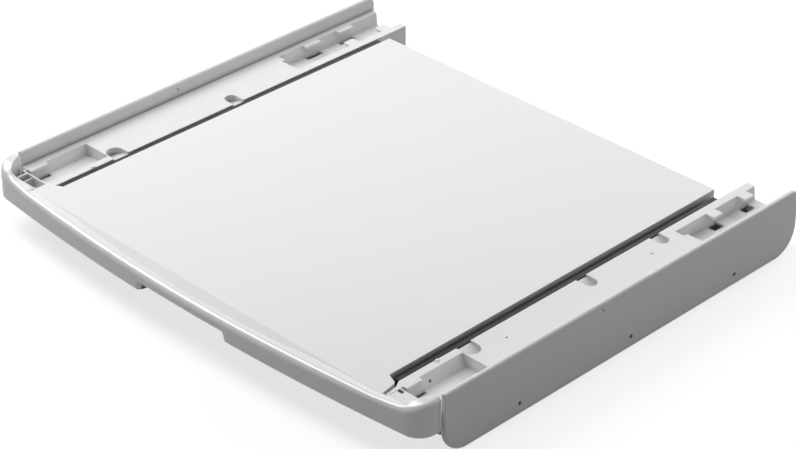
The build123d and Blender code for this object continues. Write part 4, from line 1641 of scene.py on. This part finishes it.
@dataclass
class Studio:
    """Floor, soft lights, world and camera."""

    camera_place: Triple = (1.60731, -1.58226, 1.39548)
    camera_pitch: float = 58.536
    camera_turn: float = 45.162
    focal_length: float = 118.06
    sensor_width: float = 36.0
    far_clip: float = 30.0
    floor_reach: float = 9.0
    floor_colour: float = 0.42
    floor_glow: float = 0.72
    ambient: float = 0.06
    softboxes: tuple[Softbox, ...] = (
        Softbox("left_softbox", (-1.25, -0.4, 1.45), (0.0, -0.25, 0.0), (0.8, 1.3), 20.5),
        Softbox("bar_edge_card", (-1.25, -0.32, 1.48), (0.0, -0.25, 0.0), (0.9, 1.4), 14.0, True),
        Softbox("rear_left_softbox", (-1.7, 1.6, 1.25), (0.0, 0.0, 0.0), (1.8, 1.3), 7.5),
        Softbox("rear_softbox", (0.0, 2.2, 1.3), (0.0, 0.0, 0.0), (1.8, 1.0), 21.7),
        Softbox("overhead_softbox", (0.1, 0.0, 2.2), (0.0, 0.0, 0.0), (1.4, 1.4), 10.8),
        Softbox("front_softbox", (0.2, -1.9, 0.7), (0.0, 0.0, 0.03), (1.0, 0.6), 1.8),
        Softbox("right_softbox", (1.7, 0.7, 0.8), (0.1, 0.0, 0.03), (0.8, 0.6), 2.2),
    )

    def white_to_eyes(self, tree: bpy.types.NodeTree) -> bpy.types.NodeSocket:
        """A mask of the rays that should meet a white background.

        Args:
            tree: the material's or world's tree.

        Returns:
            1 for camera, glossy and transmission rays.
        """
        path = tree.nodes.new("ShaderNodeLightPath")
        seen = calculate(tree, "MAXIMUM", path.outputs["Is Camera Ray"], path.outputs["Is Glossy Ray"])
        return calculate(tree, "MAXIMUM", seen, path.outputs["Is Transmission Ray"])

    def floor(self) -> None:
        """A pale floor that stays white to the camera and keeps a soft shadow."""
        reach = self.floor_reach
        mesh = bpy.data.meshes.new("floor")
        mesh.from_pydata([(-reach, -reach, 0), (reach, -reach, 0), (reach, reach, 0), (-reach, reach, 0)], [],
                         [(0, 1, 2, 3)])
        obj = add_object("floor", mesh)
        material = bpy.data.materials.new("floor_white")
        material.use_nodes = True
        tree = material.node_tree
        tree.nodes.remove(tree.nodes["Principled BSDF"])
        diffuse = tree.nodes.new("ShaderNodeBsdfDiffuse")
        diffuse.inputs["Color"].default_value = (self.floor_colour,) * 3 + (1.0,)
        glow = tree.nodes.new("ShaderNodeEmission")
        seen = self.white_to_eyes(tree)
        tree.links.new(calculate(tree, "MULTIPLY", seen, self.floor_glow), glow.inputs["Strength"])
        both = tree.nodes.new("ShaderNodeAddShader")
        tree.links.new(diffuse.outputs[0], both.inputs[0])
        tree.links.new(glow.outputs[0], both.inputs[1])
        tree.links.new(both.outputs[0], tree.nodes["Material Output"].inputs["Surface"])
        mesh.materials.append(material)

    def world(self) -> None:
        """An even sky that lights softly and looks white."""
        world = bpy.data.worlds.new("studio")
        world.use_nodes = True
        bpy.context.scene.world = world
        tree = world.node_tree
        background = tree.nodes["Background"]
        background.inputs["Color"].default_value = (1.0, 1.0, 1.0, 1.0)
        seen = self.white_to_eyes(tree)
        strength = calculate(tree, "MULTIPLY_ADD", seen, 1.0 - self.ambient, self.ambient)
        tree.links.new(strength, background.inputs["Strength"])

    def camera(self) -> None:
        """The camera at the photograph's viewing angle."""
        data = bpy.data.cameras.new("camera")
        data.lens = self.focal_length
        data.sensor_width = self.sensor_width
        data.clip_end = self.far_clip
        obj = bpy.data.objects.new("camera", data)
        bpy.context.scene.collection.objects.link(obj)
        obj.location = self.camera_place
        obj.rotation_euler = (math.radians(self.camera_pitch), 0.0, math.radians(self.camera_turn))
        bpy.context.scene.camera = obj

    def build(self) -> None:
        """Set the whole studio up."""
        bpy.context.scene.view_settings.view_transform = "Standard"
        self.camera()
        self.floor()
        self.world()
        for softbox in self.softboxes:
            softbox.build()
        log.info("studio: floor, world, %d softboxes and camera", len(self.softboxes))


def main() -> None:
    """Build every sub-assembly in order."""
    logging.basicConfig(level=logging.INFO, format="%(message)s")
    finishes = Finishes()
    Studio().build()
    for side in Side:
        SideRail(side, finishes).build()
        Runner(side, finishes).build()
    Shelf(finishes).build()
    Underframe(finishes).build()
    Screws(finishes).build()
    log.info("sizes written")


if __name__ == "__main__":
    main()
